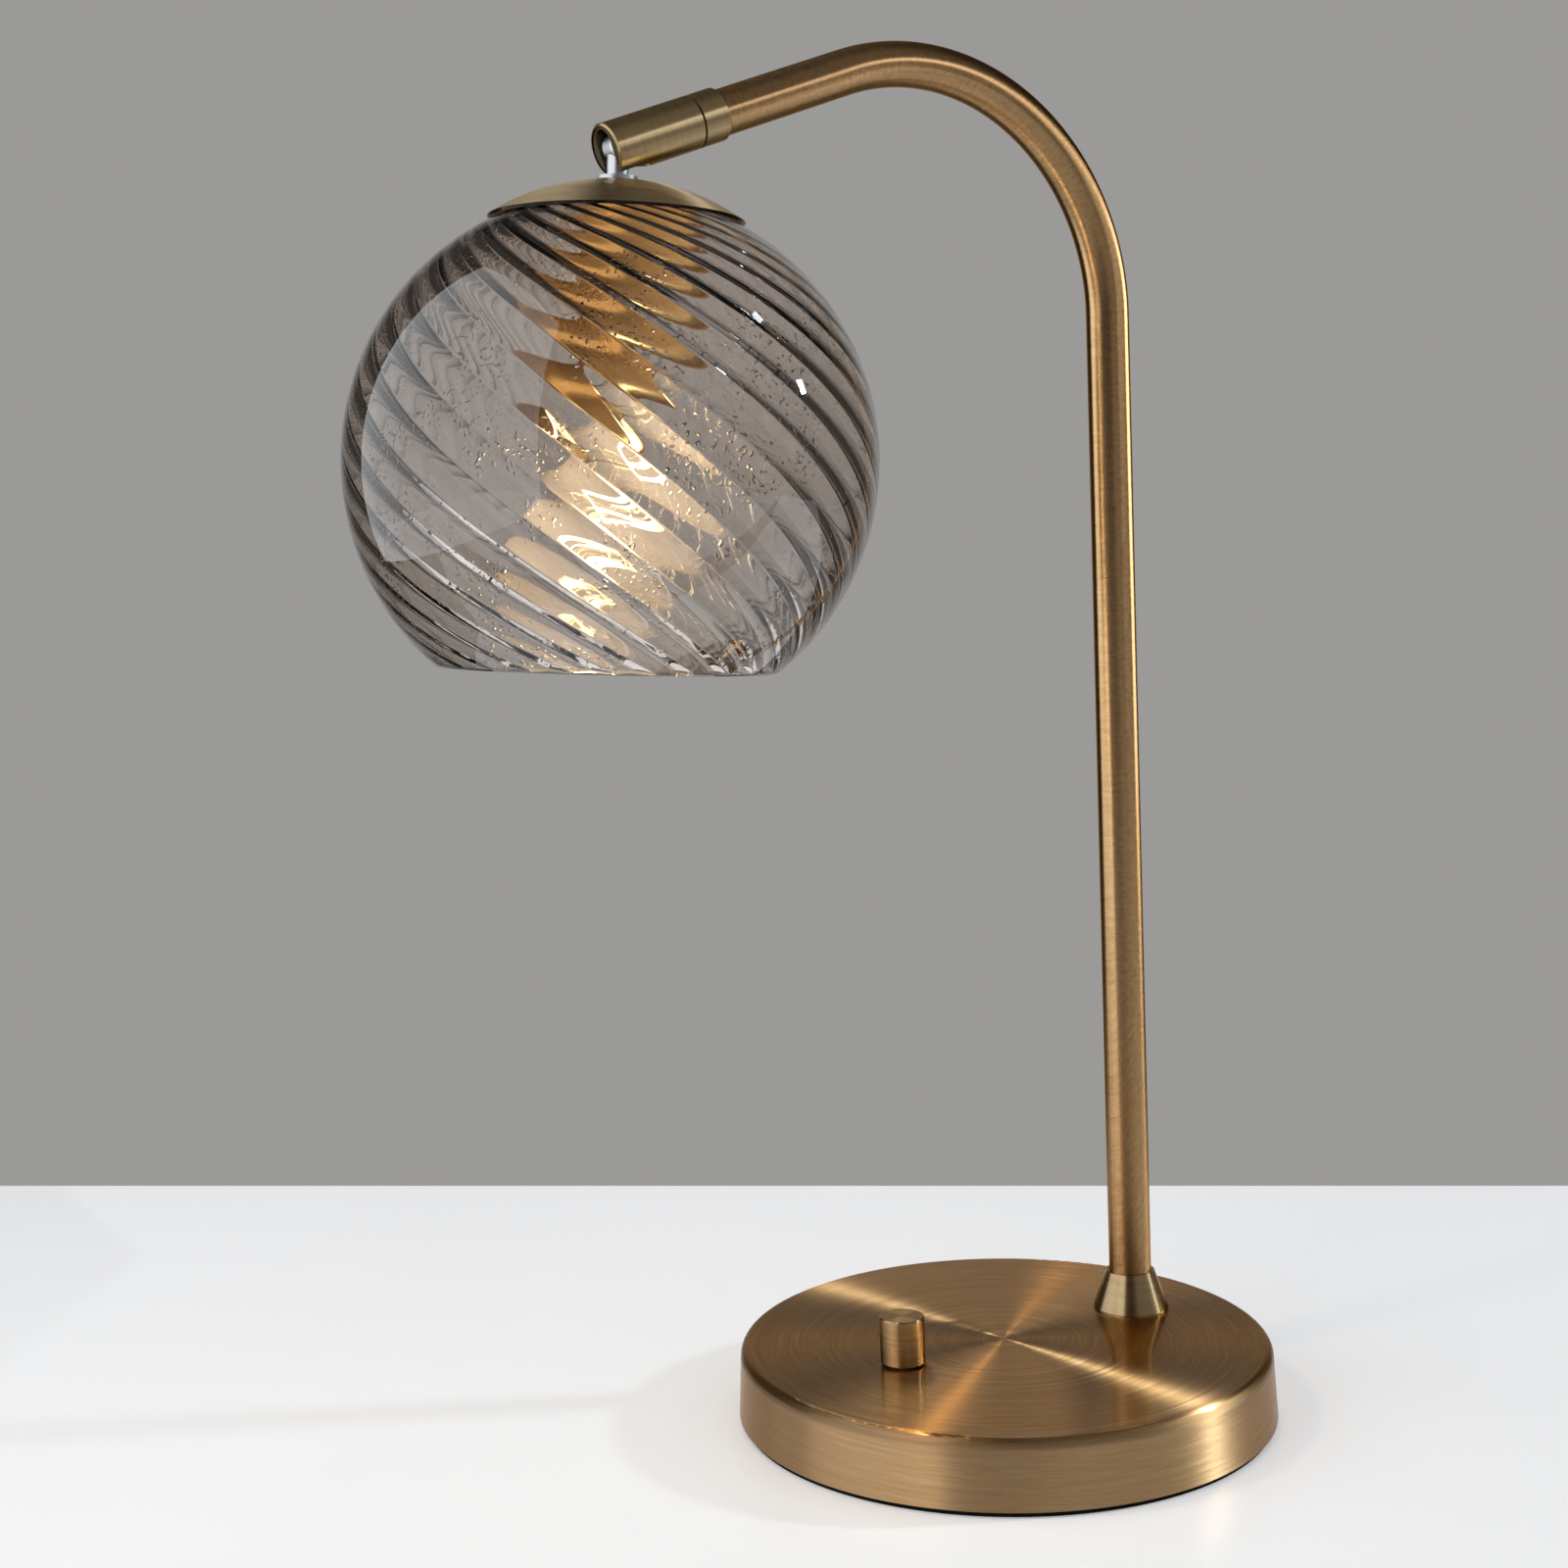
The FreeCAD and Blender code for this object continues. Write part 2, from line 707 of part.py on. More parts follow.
def dimmer_knob():
    radius = "knob_diameter / 2"
    bore = "shaft_diameter / 2 + seat_gap"
    room = "dimmer_nut_radius + fit_gap"
    ceiling = "bush_top + fit_gap"
    knob = revolve("knob", [
        (room, "knob_foot"),
        (f"{radius} - knob_edge", "knob_foot"),
        (radius, "knob_foot + knob_edge"),
        (radius, "knob_top - knob_edge"),
        (f"{radius} - knob_edge", "knob_top"),
        ("0", "knob_top"),
        ("0", "knob_top - knob_crown"),
        (bore, "knob_top - knob_crown"),
        (bore, ceiling),
        (room, ceiling),
    ])
    keep(knob, "dimmer_knob", KNOB_PLACE)


# Foot of the stem
def stem_collar():
    collar = revolve("foot_collar", [
        ("nipple_radius + seat_gap", "cover_top"),
        ("tube_radius + collar_flare", "cover_top"),
        ("tube_radius + collar_flare", "cover_top + collar_lip"),
        ("tube_radius + collar_wall", "cover_top + collar_height"),
        ("tube_radius + seat_gap", "cover_top + collar_height"),
        ("tube_radius + seat_gap", "collar_floor"),
        ("nipple_radius + seat_gap", "collar_floor"),
    ])
    keep(collar, "stem_collar", STEM_PLACE)


def stem_nipple():
    length = "collar_floor + insert_length - nipple_foot"
    nipple = disc("nipple", "nipple_radius", "nipple_foot", length, "nipple_bore_diameter / 2")
    keep(nipple, "stem_nipple", STEM_PLACE)


def tube_insert():
    insert = disc("insert", "tube_bore_radius - seat_gap", "collar_floor", "insert_length",
                  "nipple_radius + seat_gap")
    keep(insert, "tube_insert", STEM_PLACE)


def stiffener_plate():
    plate = disc("stiffener", "stiffener_diameter / 2", "stiffener_under", "stiffener_thickness",
                 "nipple_radius + seat_gap")
    keep(plate, "stiffener_plate", STEM_PLACE)


def lock_washer():
    washer = disc("toothed_washer", "lock_washer_diameter / 2", "lock_washer_under",
                  "lock_washer_thickness", "nipple_radius + seat_gap")
    keep(washer, "lock_washer", STEM_PLACE)


def nipple_nut():
    piece = nut("foot_nut", "nipple_nut_across", "nipple_nut_under", "nipple_nut_thickness",
                "nipple_radius + seat_gap")
    keep(piece, "nipple_nut", STEM_PLACE)


# Bent tube: a ring swept along a straight, a bend and a straight
def stem_tube():
    body = new_body("tube")
    turn = "bend_angle * 1 deg"
    bend_end = (f"-bend_radius * (1 - cos({turn}))", f"stem_length + bend_radius * sin({turn})")
    run_end = (f"{bend_end[0]} - end_run * sin({turn})", f"{bend_end[1]} + end_run * cos({turn})")
    route = new_sketch(body, "XZ_Plane")
    corners = [("0", "0"), ("0", "stem_length", "bend_radius", LEFT), bend_end, run_end]
    points = [FreeCAD.Vector(number(corner[0]), number(corner[1]), 0) for corner in corners]
    for place in range(3):
        geometry, first, _ = side(points[place], points[place + 1], corners[place])
        route.addGeometry(geometry, False)
        fix_point(route, place, first, corners[place][0], corners[place][1])
    fix_point(route, 2, 2, *run_end)
    route.addConstraint(Sketcher.Constraint("Coincident", 0, 2, 1, 1))
    route.addConstraint(Sketcher.Constraint("Coincident", 1, 2, 2, 1))
    held = route.addConstraint(Sketcher.Constraint("Radius", 1, number("bend_radius")))
    route.setExpression(f"Constraints[{held}]", bound("bend_radius"))
    ring = new_sketch(body, "XY_Plane")
    draw_circle(ring, "tube_radius")
    draw_circle(ring, "tube_bore_radius")
    pipe = body.newObject("PartDesign::AdditivePipe", "tube_pipe")
    pipe.Profile = ring
    pipe.Spine = (route, ["Edge1", "Edge2", "Edge3"])
    foot = FreeCAD.Vector(number("stem_offset"), 0, number("collar_floor"))
    keep(body, "stem_tube", FreeCAD.Placement(foot, FreeCAD.Rotation()))


# Fixed end of the arm. Outlines run along the arm, counted from the end of the tube.
def end_collar():
    collar = revolve("arm_collar", [
        ("-collar_overlap", "tube_radius + seat_gap"),
        ("-collar_overlap", "barrel_radius - collar_edge"),
        ("collar_edge - collar_overlap", "barrel_radius"),
        ("collar_web", "barrel_radius"),
        ("collar_web", "stud_radius + seat_gap"),
        ("0", "stud_radius + seat_gap"),
        ("0", "tube_radius + seat_gap"),
    ], axis="H_Axis")
    keep(collar, "end_collar", ARM_PLACE)


def arm_ring(name, node, start, end, radius, bore):
    piece = revolve(name, box(start, bore, end, radius), axis="H_Axis")
    keep(piece, node, ARM_PLACE)


def swivel_pieces():
    stud_bore = "stud_bore_diameter / 2"
    arm_ring("hollow_stud", "swivel_stud", "0", "stud_nut_front + stud_spare", "stud_radius", stud_bore)
    arm_ring("black_washer", "swivel_washer", "collar_web", "barrel_start",
             "barrel_radius - swivel_washer_inset", "stud_radius + seat_gap")
    arm_ring("wave_washer", "spring_washer", "web_front", "spring_front",
             "spring_washer_diameter / 2", "stud_radius + seat_gap")


def stud_nut():
    body = new_body("arm_nut")
    sketch = new_sketch(body, "YZ_Plane", "spring_front")
    draw_outline(sketch, hexagon("stud_nut_across"))
    draw_circle(sketch, "stud_radius + seat_gap")
    pad(body, sketch, "stud_nut_thickness")
    keep(body, "stud_nut", ARM_PLACE)


# Turning barrel: a sleeve with a slot open to its end and underside, over a slotted clevis
def swivel_barrel():
    body = revolve("barrel", [
        ("barrel_start", "stud_radius + running_gap"),
        ("barrel_start", "barrel_radius"),
        ("barrel_end - barrel_edge", "barrel_radius"),
        ("barrel_end", "barrel_radius - barrel_edge"),
        ("barrel_end", "barrel_bore_radius"),
        ("web_front", "barrel_bore_radius"),
        ("web_front", "stud_radius + running_gap"),
    ], axis="H_Axis")
    slot = new_sketch(body, "XY_Plane")
    draw_outline(slot, obround("slot_root + slot_width / 2", "barrel_end + overrun", "slot_width / 2"))
    pocket(body, slot, "barrel_radius + overrun", reverse=True)
    keep(body, "swivel_barrel", ARM_PLACE)


def knuckle_clevis():
    body = revolve("clevis", [
        ("clevis_end - clevis_length", "stud_bore_diameter / 2"),
        ("clevis_end - clevis_length", "barrel_bore_radius - seat_gap"),
        ("clevis_end", "barrel_bore_radius - seat_gap"),
        ("clevis_end", "stud_bore_diameter / 2"),
    ], axis="H_Axis")
    arch = new_sketch(body, "YZ_Plane", "slot_root")
    half = "slot_width / 2"
    draw_outline(arch, [
        (half, "barrel_radius + overrun"),
        (f"-{half}", "barrel_radius + overrun"),
        (f"-{half}", "-slot_lift", half, LEFT),
        (half, "-slot_lift"),
    ])
    pocket(body, arch, "slot_depth + overrun", reverse=True)
    drill(body, "pin_diameter / 2 + seat_gap", "pin_place", "0", "XZ_Plane")
    keep(body, "knuckle_clevis", ARM_PLACE)


def pivot_pin():
    body = new_body("cross_pin")
    reach = "barrel_bore_radius - fit_gap"
    sketch = new_sketch(body, "XZ_Plane", f"-({reach})")
    draw_circle(sketch, "pin_diameter / 2", "pin_place", "0")
    pad(body, sketch, f"2 * ({reach})")
    keep(body, "pivot_pin", ARM_PLACE)


def friction_washers():
    washers = []
    for foot in ("head_width / 2 + seat_gap", "-slot_width / 2 + seat_gap"):
        body = new_body("cheek_washer")
        sketch = new_sketch(body, "XZ_Plane", foot)
        draw_circle(sketch, "friction_washer_diameter / 2", "pin_place", "0")
        draw_circle(sketch, "pin_diameter / 2 + seat_gap", "pin_place", "0")
        pad(body, sketch, "cheek_gap - 2 * seat_gap")
        washers.append(body)
    keep(gather("cheek_washers", washers), "friction_washers", ARM_PLACE)


# Shade group. Heights run along the shade's axis, counted from the pivot pin.
def tilt_stud():
    half = "head_width / 2"
    edge = "head_edge_radius"
    bore = "pin_diameter / 2 + running_gap"
    body = revolve("stud", [
        (bore, f"-{half}"),
        (f"head_radius - {edge}", f"-{half}", edge, LEFT),
        ("head_radius", f"{edge} - {half}"),
        ("head_radius", f"{half} - {edge}", edge, LEFT),
        (f"head_radius - {edge}", half),
        (bore, half),
    ], axis="V_Axis", plane="XY_Plane")
    shank = new_sketch(body, "XY_Plane", "shank_foot")
    draw_circle(shank, "shank_radius")
    pad(body, shank, "-head_drop - shank_foot")
    lead_bore = new_sketch(body, "XY_Plane", "shank_foot")
    draw_circle(lead_bore, "stud_bore_diameter / 2")
    pocket(body, lead_bore, "-neck_reach / 2 - shank_foot", reverse=True)
    keep(body, "tilt_stud", SHADE_PLACE)


def neck_washer():
    washer = disc("bright_washer", "neck_washer_diameter / 2", "dome_top", "neck_washer_thickness",
                  "shank_radius + seat_gap")
    keep(washer, "neck_washer", SHADE_PLACE)


def shade_cap():
    hole = "shank_radius + seat_gap"
    rim_share = "dome_inner_radius / dome_radius"
    cap = revolve("cap", [
        (hole, f"dome_centre + {ball('dome_radius', hole)}", "dome_radius", RIGHT),
        ("cap_rim_radius", "rim_height"),
        (f"cap_rim_radius * {rim_share}", f"dome_centre + (rim_height - dome_centre) * {rim_share}",
         "dome_inner_radius", LEFT),
        (hole, f"dome_centre + {ball('dome_inner_radius', hole)}"),
    ])
    keep(cap, "shade_cap", SHADE_PLACE)


def cap_nut():
    piece = nut("upper_nut", "cap_nut_across", "cup_top", "cap_nut_thickness", "shank_radius + seat_gap")
    keep(piece, "cap_nut", SHADE_PLACE)


def cup_nut():
    foot = "cup_nut_top - cup_nut_thickness"
    piece = nut("lower_nut", "cap_nut_across", foot, "cup_nut_thickness", "shank_radius + seat_gap")
    keep(piece, "cup_nut", SHADE_PLACE)


def shade_gasket():
    inner = "neck_hole_radius"
    outer = "neck_hole_radius + gasket_width"
    below = "globe_radius + seat_gap"
    above = "dome_inner_radius - seat_gap"
    gasket = revolve("gasket", [
        (inner, f"globe_centre + {ball(below, inner)}", below, RIGHT),
        (outer, f"globe_centre + {ball(below, outer)}"),
        (outer, f"dome_centre + {ball(above, outer)}", above, LEFT),
        (inner, f"dome_centre + {ball(above, inner)}"),
    ])
    keep(gasket, "shade_gasket", SHADE_PLACE)


# Glass globe: a smooth ball, with ribs that wind down its hollow at a steady slant
RIB_LEVELS = 16


def rib_ring(latitude, flat):
    """Zigzag ring of the hollow at a latitude, turned by the swirl. An end ring is flat."""
    deep = number("globe_inner_radius + rib_depth")
    swirl = -number("rib_slant") * math.log(math.tan(math.pi / 4 + latitude / 2))
    corners = 2 * number_of("rib_count")
    points = []
    for corner in range(corners):
        angle = swirl + 2 * math.pi * corner / corners
        radius = deep if corner % 2 else number("globe_inner_radius")
        across = radius * math.cos(latitude)
        height = number("globe_centre") + (deep if flat else radius) * math.sin(latitude)
        points.append(FreeCAD.Vector(across * math.cos(angle), across * math.sin(angle), height))
    ring = doc.addObject("Part::Feature", "rib_ring")
    ring.Shape = Part.makePolygon(points + points[:1])
    return ring


def glass_shade():
    neck_rise = ball("globe_radius", "neck_hole_radius")
    mouth_drop = ball("globe_radius", "mouth_radius")
    globe = revolve("globe_ball", [
        ("neck_hole_radius", f"globe_centre + {neck_rise}", "globe_radius", RIGHT),
        ("mouth_radius", f"globe_centre - {mouth_drop}"),
        ("neck_hole_radius", f"globe_centre - {mouth_drop}"),
    ])
    top = math.acos(number("neck_hole_radius / globe_radius"))
    foot = -math.asin(number(f"({mouth_drop} + overrun) / globe_radius"))
    rings = []
    for level in range(RIB_LEVELS + 1):
        latitude = top + (foot - top) * level / RIB_LEVELS
        rings.append(rib_ring(latitude, level in (0, RIB_LEVELS)))
    hollow = doc.addObject("Part::Loft", "ribbed_hollow")
    hollow.Sections = rings
    hollow.Ruled = True
    hollow.Solid = True
    keep(cut("globe", globe, [hollow]), "glass_shade", SHADE_PLACE)


# Lamp holder
def socket_cup():
    radius = "cup_radius"
    inner = "cup_radius - cup_wall"
    cup = revolve("cup", [
        ("shank_radius + seat_gap", "cup_top"),
        (f"{radius} - cup_edge_radius", "cup_top", "cup_edge_radius", RIGHT),
        (radius, "cup_top - cup_edge_radius"),
        (radius, "cup_mouth"),
        (inner, "cup_mouth"),
        (inner, "cup_top - cup_edge_radius", "cup_edge_radius - cup_wall", LEFT),
        (f"{radius} - cup_edge_radius", "cup_nut_top"),
        ("shank_radius + seat_gap", "cup_nut_top"),
    ])
    keep(cup, "socket_cup", SHADE_PLACE)


def shade_ring():
    inner = "cup_radius + seat_gap"
    outer = "cup_radius + ring_width"
    top_outer = f"globe_centre + {ball('globe_inner_radius', outer)} - seat_gap"
    top_inner = f"globe_centre + {ball('globe_inner_radius', inner)} - seat_gap"
    ring = revolve("clamp_ring", [
        (inner, f"{top_inner} - ring_height"),
        (outer, f"{top_inner} - ring_height"),
        (outer, top_outer),
        (inner, top_inner),
    ])
    keep(ring, "shade_ring", SHADE_PLACE)


def socket_core():
    core = revolve("core", [
        ("shell_radius + seat_gap", "core_foot"),
        ("cup_radius - cup_wall - seat_gap", "core_foot"),
        ("cup_radius - cup_wall - seat_gap", "core_top"),
        ("0", "core_top"),
        ("0", "core_ceiling"),
        ("shell_radius + seat_gap", "core_ceiling"),
    ])
    keep(core, "socket_core", SHADE_PLACE)


def socket_shell():
    foot = "bulb_base_top - shell_length"
    shell = disc("screw_shell", "shell_radius", foot, "shell_length", "shell_radius - shell_wall")
    keep(shell, "socket_shell", SHADE_PLACE)


def socket_contact():
    contact = disc("contact", "contact_diameter / 2", "contact_foot", "contact_thickness")
    keep(contact, "socket_contact", SHADE_PLACE)


# Bulb
def bulb_base():
    base = revolve("bulb_screw", [
        ("bulb_base_diameter / 2 - bulb_base_wall", "bulb_base_foot"),
        ("bulb_base_diameter / 2", "bulb_base_foot"),
        ("bulb_base_diameter / 2", "bulb_base_top"),
        ("bulb_tip_diameter / 2", "bulb_tip_top"),
        ("0", "bulb_tip_top"),
        ("0", "bulb_base_top - bulb_base_wall"),
        ("bulb_base_diameter / 2 - bulb_base_wall", "bulb_base_top - bulb_base_wall"),
    ])
    keep(base, "bulb_base", SHADE_PLACE)


def bulb_glass():
    neck = "bulb_neck_radius"
    inner_neck = "bulb_neck_radius - bulb_wall"
    shoulder = "bulb_shoulder_angle * 1 deg"
    neck_end = "bulb_base_foot - bulb_neck_length"
    glass = revolve("envelope", [
        (inner_neck, "bulb_neck_top"),
        (inner_neck, neck_end, "bulb_flare_radius + bulb_wall", LEFT),
        (f"bulb_inner_radius * cos({shoulder})", f"bulb_centre + bulb_inner_radius * sin({shoulder})",
         "bulb_inner_radius", RIGHT),
        ("0", "bulb_foot + bulb_wall"),
        ("0", "bulb_foot", "bulb_radius", LEFT),
        (f"bulb_radius * cos({shoulder})", f"bulb_centre + bulb_radius * sin({shoulder})",
         "bulb_flare_radius", RIGHT),
        (neck, neck_end),
        (neck, "bulb_neck_top"),
    ])
    keep(glass, "bulb_glass", SHADE_PLACE)


def bulb_mount():
    rod = "mount_rod_diameter / 2"
    foot = "bulb_neck_radius - bulb_wall - seat_gap"
    mount = revolve("glass_mount", [
        ("0", "bulb_neck_top"),
        (foot, "bulb_neck_top"),
        (rod, f"bulb_neck_top - ({foot})"),
        (rod, "mount_foot"),
        ("0", "mount_foot"),
    ])
    keep(mount, "bulb_mount", SHADE_PLACE)


def rod_between(name, start, end, diameter):
    rod = doc.addObject("Part::Cylinder", name)
    rod.setExpression("Radius", bound(f"{diameter} / 2"))
    rod.Height = (end - start).Length
    rod.Placement = FreeCAD.Placement(start, FreeCAD.Rotation(FreeCAD.Vector(0, 0, 1), end - start))
    return rod


def bulb_filaments():
    """Bright rods slanted round the mount, on wires to its side above and to a hub under its tip."""
    rods = []
    mount_side = number("mount_rod_diameter / 2 + seat_gap")
    hub = FreeCAD.Vector(0, 0, number("mount_foot - seat_gap - filament_wire_diameter / 2"))
    for step in range(number_of("filament_count")):
        turn = FreeCAD.Rotation(FreeCAD.Vector(0, 0, 1), 360 * step / number_of("filament_count"))
        lean = FreeCAD.Rotation(FreeCAD.Vector(1, 0, 0), number("filament_slant"))
        way = turn.multVec(lean.multVec(FreeCAD.Vector(0, 0, number("filament_length"))))
        middle = turn.multVec(FreeCAD.Vector(number("filament_circle_radius"), 0, 0))
        foot = hub + middle - FreeCAD.Vector(way.x, way.y, 0) * 0.5
        head = foot + way
        inward = FreeCAD.Vector(head.x, head.y, 0)
        post = head - inward + inward.normalize() * mount_side
        rods.append(rod_between("filament", foot, head, "filament_diameter"))
        rods.append(rod_between("hub_wire", hub, foot, "filament_wire_diameter"))
        rods.append(rod_between("post_wire", post, head, "filament_wire_diameter"))
    joined = doc.addObject("Part::MultiFuse", "filaments")
    joined.Shapes = rods
    keep(joined, "bulb_filaments", SHADE_PLACE)


# Leads that the lamp holds all the way
def lead(node, points, bends, diameter):
    piece = doc.addObject("Part::Feature", node + "_shape")
    piece.Shape = swept_lead(points, bends, number(diameter))
    keep(piece, node)


def stem_lead():
    """From the terminal block, up the stem and round the bend to the swivel stud."""
    stem = number("stem_offset")
    low = number("lead_height")
    turn = math.radians(number("bend_angle"))
    crown = number("bend_height") + number("bend_radius") * math.tan(turn / 2)
    points = [
        FreeCAD.Vector(number("block_face + seat_gap"), 0, low),
        FreeCAD.Vector(stem, 0, low),
        FreeCAD.Vector(stem, 0, crown),
        arm_point(number("end_run + stud_nut_front")),
    ]
    lead("stem_lead", points, [number("stem_lead_bend"), number("bend_radius")], "stem_lead_diameter")


def dimmer_lead():
    """From the dimmer's case down to the terminal block."""
    high = number("(dimmer_foot + cover_under) / 2")
    low = number("lead_height")
    case_face = number("dimmer_length / 2 - knob_offset + seat_gap")
    block_side = number("block_offset - block_length / 2 - seat_gap")
    run = (block_side - case_face) * number("dimmer_lead_run_share")
    points = [
        FreeCAD.Vector(case_face, 0, high),
        FreeCAD.Vector(case_face + run, 0, high),
        FreeCAD.Vector(block_side - run, 0, low),
        FreeCAD.Vector(block_side, 0, low),
    ]
    bend = run * number("dimmer_lead_bend_share")
    lead("dimmer_lead", points, [bend, bend], "dimmer_lead_diameter")


def socket_lead():
    """Straight down the tilt stud's bore to the insulating core."""
    foot = "core_top + seat_gap"
    piece = disc("inner_lead", "socket_lead_diameter / 2", foot, f"-neck_reach - ({foot})")
    keep(piece, "socket_lead", SHADE_PLACE)


for build in (
    foam_pad, base_plate, plate_screws, ballast_spacers, ballast_weight, base_cover, cord_bush,
    terminal_block, dimmer_body, dimmer_nut, dimmer_shaft, dimmer_knob, stem_collar, stem_nipple,
    tube_insert, stiffener_plate, lock_washer, nipple_nut, stem_tube, end_collar, swivel_pieces,
    stud_nut, swivel_barrel, knuckle_clevis, pivot_pin, friction_washers, tilt_stud, neck_washer,
    shade_cap, cap_nut, cup_nut, shade_gasket, glass_shade, socket_cup, shade_ring, socket_core,
    socket_shell, socket_contact, bulb_base, bulb_glass, bulb_mount, bulb_filaments, stem_lead,
    dimmer_lead, socket_lead,
):
    build()
doc.recompute()

# Every object is sound, every cut takes something away, and every piece is a valid solid
failed = [item.Name for item in doc.Objects if "Invalid" in item.State or "Error" in item.State]
if failed:
    raise RuntimeError(f"not built: {failed}")
for item in doc.Objects:
    if item.TypeId == "PartDesign::Pocket" and item.Shape.Volume >= item.BaseFeature.Shape.Volume:
        raise RuntimeError(f"{item.Label} cuts nothing")
    if item.TypeId == "Part::Cut" and item.Shape.Volume >= item.Base.Shape.Volume:
        raise RuntimeError(f"{item.Label} cuts nothing")
for piece in PIECES:
    if piece.Shape.isNull() or not piece.Shape.isValid() or not piece.Shape.Solids:
        raise RuntimeError(f"{piece.Label} has no valid solid")

for piece in PIECES:
    piece.Shape.exportStep(f"parts/{piece.Label}.step")
print(len(PIECES), "pieces, pivot pin at", PIN_POINT)
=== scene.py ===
import json
import math

import bmesh
import bpy
from mathutils import Matrix, Vector

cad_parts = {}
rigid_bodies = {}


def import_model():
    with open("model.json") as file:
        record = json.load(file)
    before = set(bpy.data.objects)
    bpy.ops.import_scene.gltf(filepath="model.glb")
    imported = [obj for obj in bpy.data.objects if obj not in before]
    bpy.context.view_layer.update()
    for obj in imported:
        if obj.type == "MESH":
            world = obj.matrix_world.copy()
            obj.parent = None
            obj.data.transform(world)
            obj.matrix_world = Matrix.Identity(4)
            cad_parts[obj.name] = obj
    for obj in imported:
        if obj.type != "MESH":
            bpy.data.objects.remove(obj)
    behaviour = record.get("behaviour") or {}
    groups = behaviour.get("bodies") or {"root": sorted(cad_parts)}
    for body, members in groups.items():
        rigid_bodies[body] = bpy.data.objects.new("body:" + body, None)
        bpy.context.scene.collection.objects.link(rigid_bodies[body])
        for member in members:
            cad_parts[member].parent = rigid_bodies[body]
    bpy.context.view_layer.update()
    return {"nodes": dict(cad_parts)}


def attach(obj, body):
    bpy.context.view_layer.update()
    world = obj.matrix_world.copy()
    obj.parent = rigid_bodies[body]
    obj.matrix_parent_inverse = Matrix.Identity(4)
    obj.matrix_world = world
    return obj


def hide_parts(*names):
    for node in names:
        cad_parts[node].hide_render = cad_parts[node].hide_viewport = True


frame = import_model()
NODES = frame["nodes"]

# Places in the lamp's frame, in metres. The stem stands at +X and the globe hangs at -X.
UP = Vector((0.0, 0.0, 1.0))
PIN = Vector((-0.1433187, 0.0, 0.4620462))
KNOB_X = -0.0455
BARREL_BORE = 0.0083

# Bent stem: upright, bend, and the arm's end run
STEM_X = 0.061
BEND_FOOT = 0.408
BEND_RADIUS = 0.0875
BEND_ANGLE = math.radians(108)
BEND_MIDDLE = Vector((STEM_X - BEND_RADIUS, 0.0, BEND_FOOT))
RUN = Vector((-math.sin(BEND_ANGLE), 0.0, math.cos(BEND_ANGLE)))
TUBE_RADIUS = 0.00799
TUBE_BORE_RADIUS = 0.0068
TUBE_FOOT = 0.030
TUBE_RUN = 0.060
UPRIGHT_RINGS = (TUBE_FOOT, 0.13, 0.23, 0.33)
TUBE_SIDES = 96
BEND_STEPS = 108

# Shade: distances down its own axis, from the pivot pin and from the globe's centre
TILT = math.radians(4)
SHADE_AXIS = Vector((math.sin(TILT), 0.0, math.cos(TILT)))
GLOBE_DROP = 0.104849
FILAMENT_DROP = 0.021
GLOBE_CENTRE = PIN - SHADE_AXIS * GLOBE_DROP
LIT_POINT = GLOBE_CENTRE - SHADE_AXIS * FILAMENT_DROP

# Globe: smooth outside, ribs winding down its hollow
GLOBE_RADIUS = 0.0895
GLOBE_WALL = 0.0028
NECK_RADIUS = 0.0223
MOUTH_RADIUS = 0.0573
RIB_COUNT = 27
RIB_SLANT = 1.35
RIB_RISE = 0.0015
RIB_COLUMNS = 24
GLOBE_ROWS = 150


# Small helpers for node materials
def new_material(name):
    material = bpy.data.materials.new(name)
    material.use_nodes = True
    tree = material.node_tree
    tree.nodes.clear()
    return material, tree


def add(tree, kind, **values):
    node = tree.nodes.new(kind)
    for key, value in values.items():
        setattr(node, key, value)
    return node


def link(tree, source, target):
    tree.links.new(source, target)


def feed(tree, sockets, values):
    """Give each socket its value: a number, a vector or the output of a node."""
    for socket, value in zip(sockets, values):
        if isinstance(value, (int, float)):
            socket.default_value = value
        elif isinstance(value, (Vector, tuple)):
            socket.default_value = tuple(value)
        else:
            link(tree, value, socket)


def math_node(tree, operation, *values):
    node = add(tree, "ShaderNodeMath", operation=operation)
    feed(tree, node.inputs, values)
    return node.outputs[0]


def vector_node(tree, operation, *values):
    node = add(tree, "ShaderNodeVectorMath", operation=operation)
    feed(tree, node.inputs, values)
    return node.outputs["Value"] if operation in ("DOT_PRODUCT", "LENGTH", "DISTANCE") else node.outputs[0]


def mapped(tree, value, span, result):
    """Value read between the two ends of a span, as a number between the two ends of the result."""
    node = add(tree, "ShaderNodeMapRange", clamp=True)
    link(tree, value, node.inputs["Value"])
    for name, number in zip(("From Min", "From Max", "To Min", "To Max"), (*span, *result)):
        node.inputs[name].default_value = number
    return node.outputs["Result"]


def noise(tree, vector, scale, detail=3.0, roughness=0.5):
    node = add(tree, "ShaderNodeTexNoise")
    link(tree, vector, node.inputs["Vector"])
    node.inputs["Scale"].default_value = scale
    node.inputs["Detail"].default_value = detail
    node.inputs["Roughness"].default_value = roughness
    return node.outputs["Fac"]


def combine(tree, x, y, z):
    node = add(tree, "ShaderNodeCombineXYZ")
    feed(tree, node.inputs, (x, y, z))
    return node.outputs[0]


def separate(tree, vector):
    node = add(tree, "ShaderNodeSeparateXYZ")
    link(tree, vector, node.inputs[0])
    return node.outputs


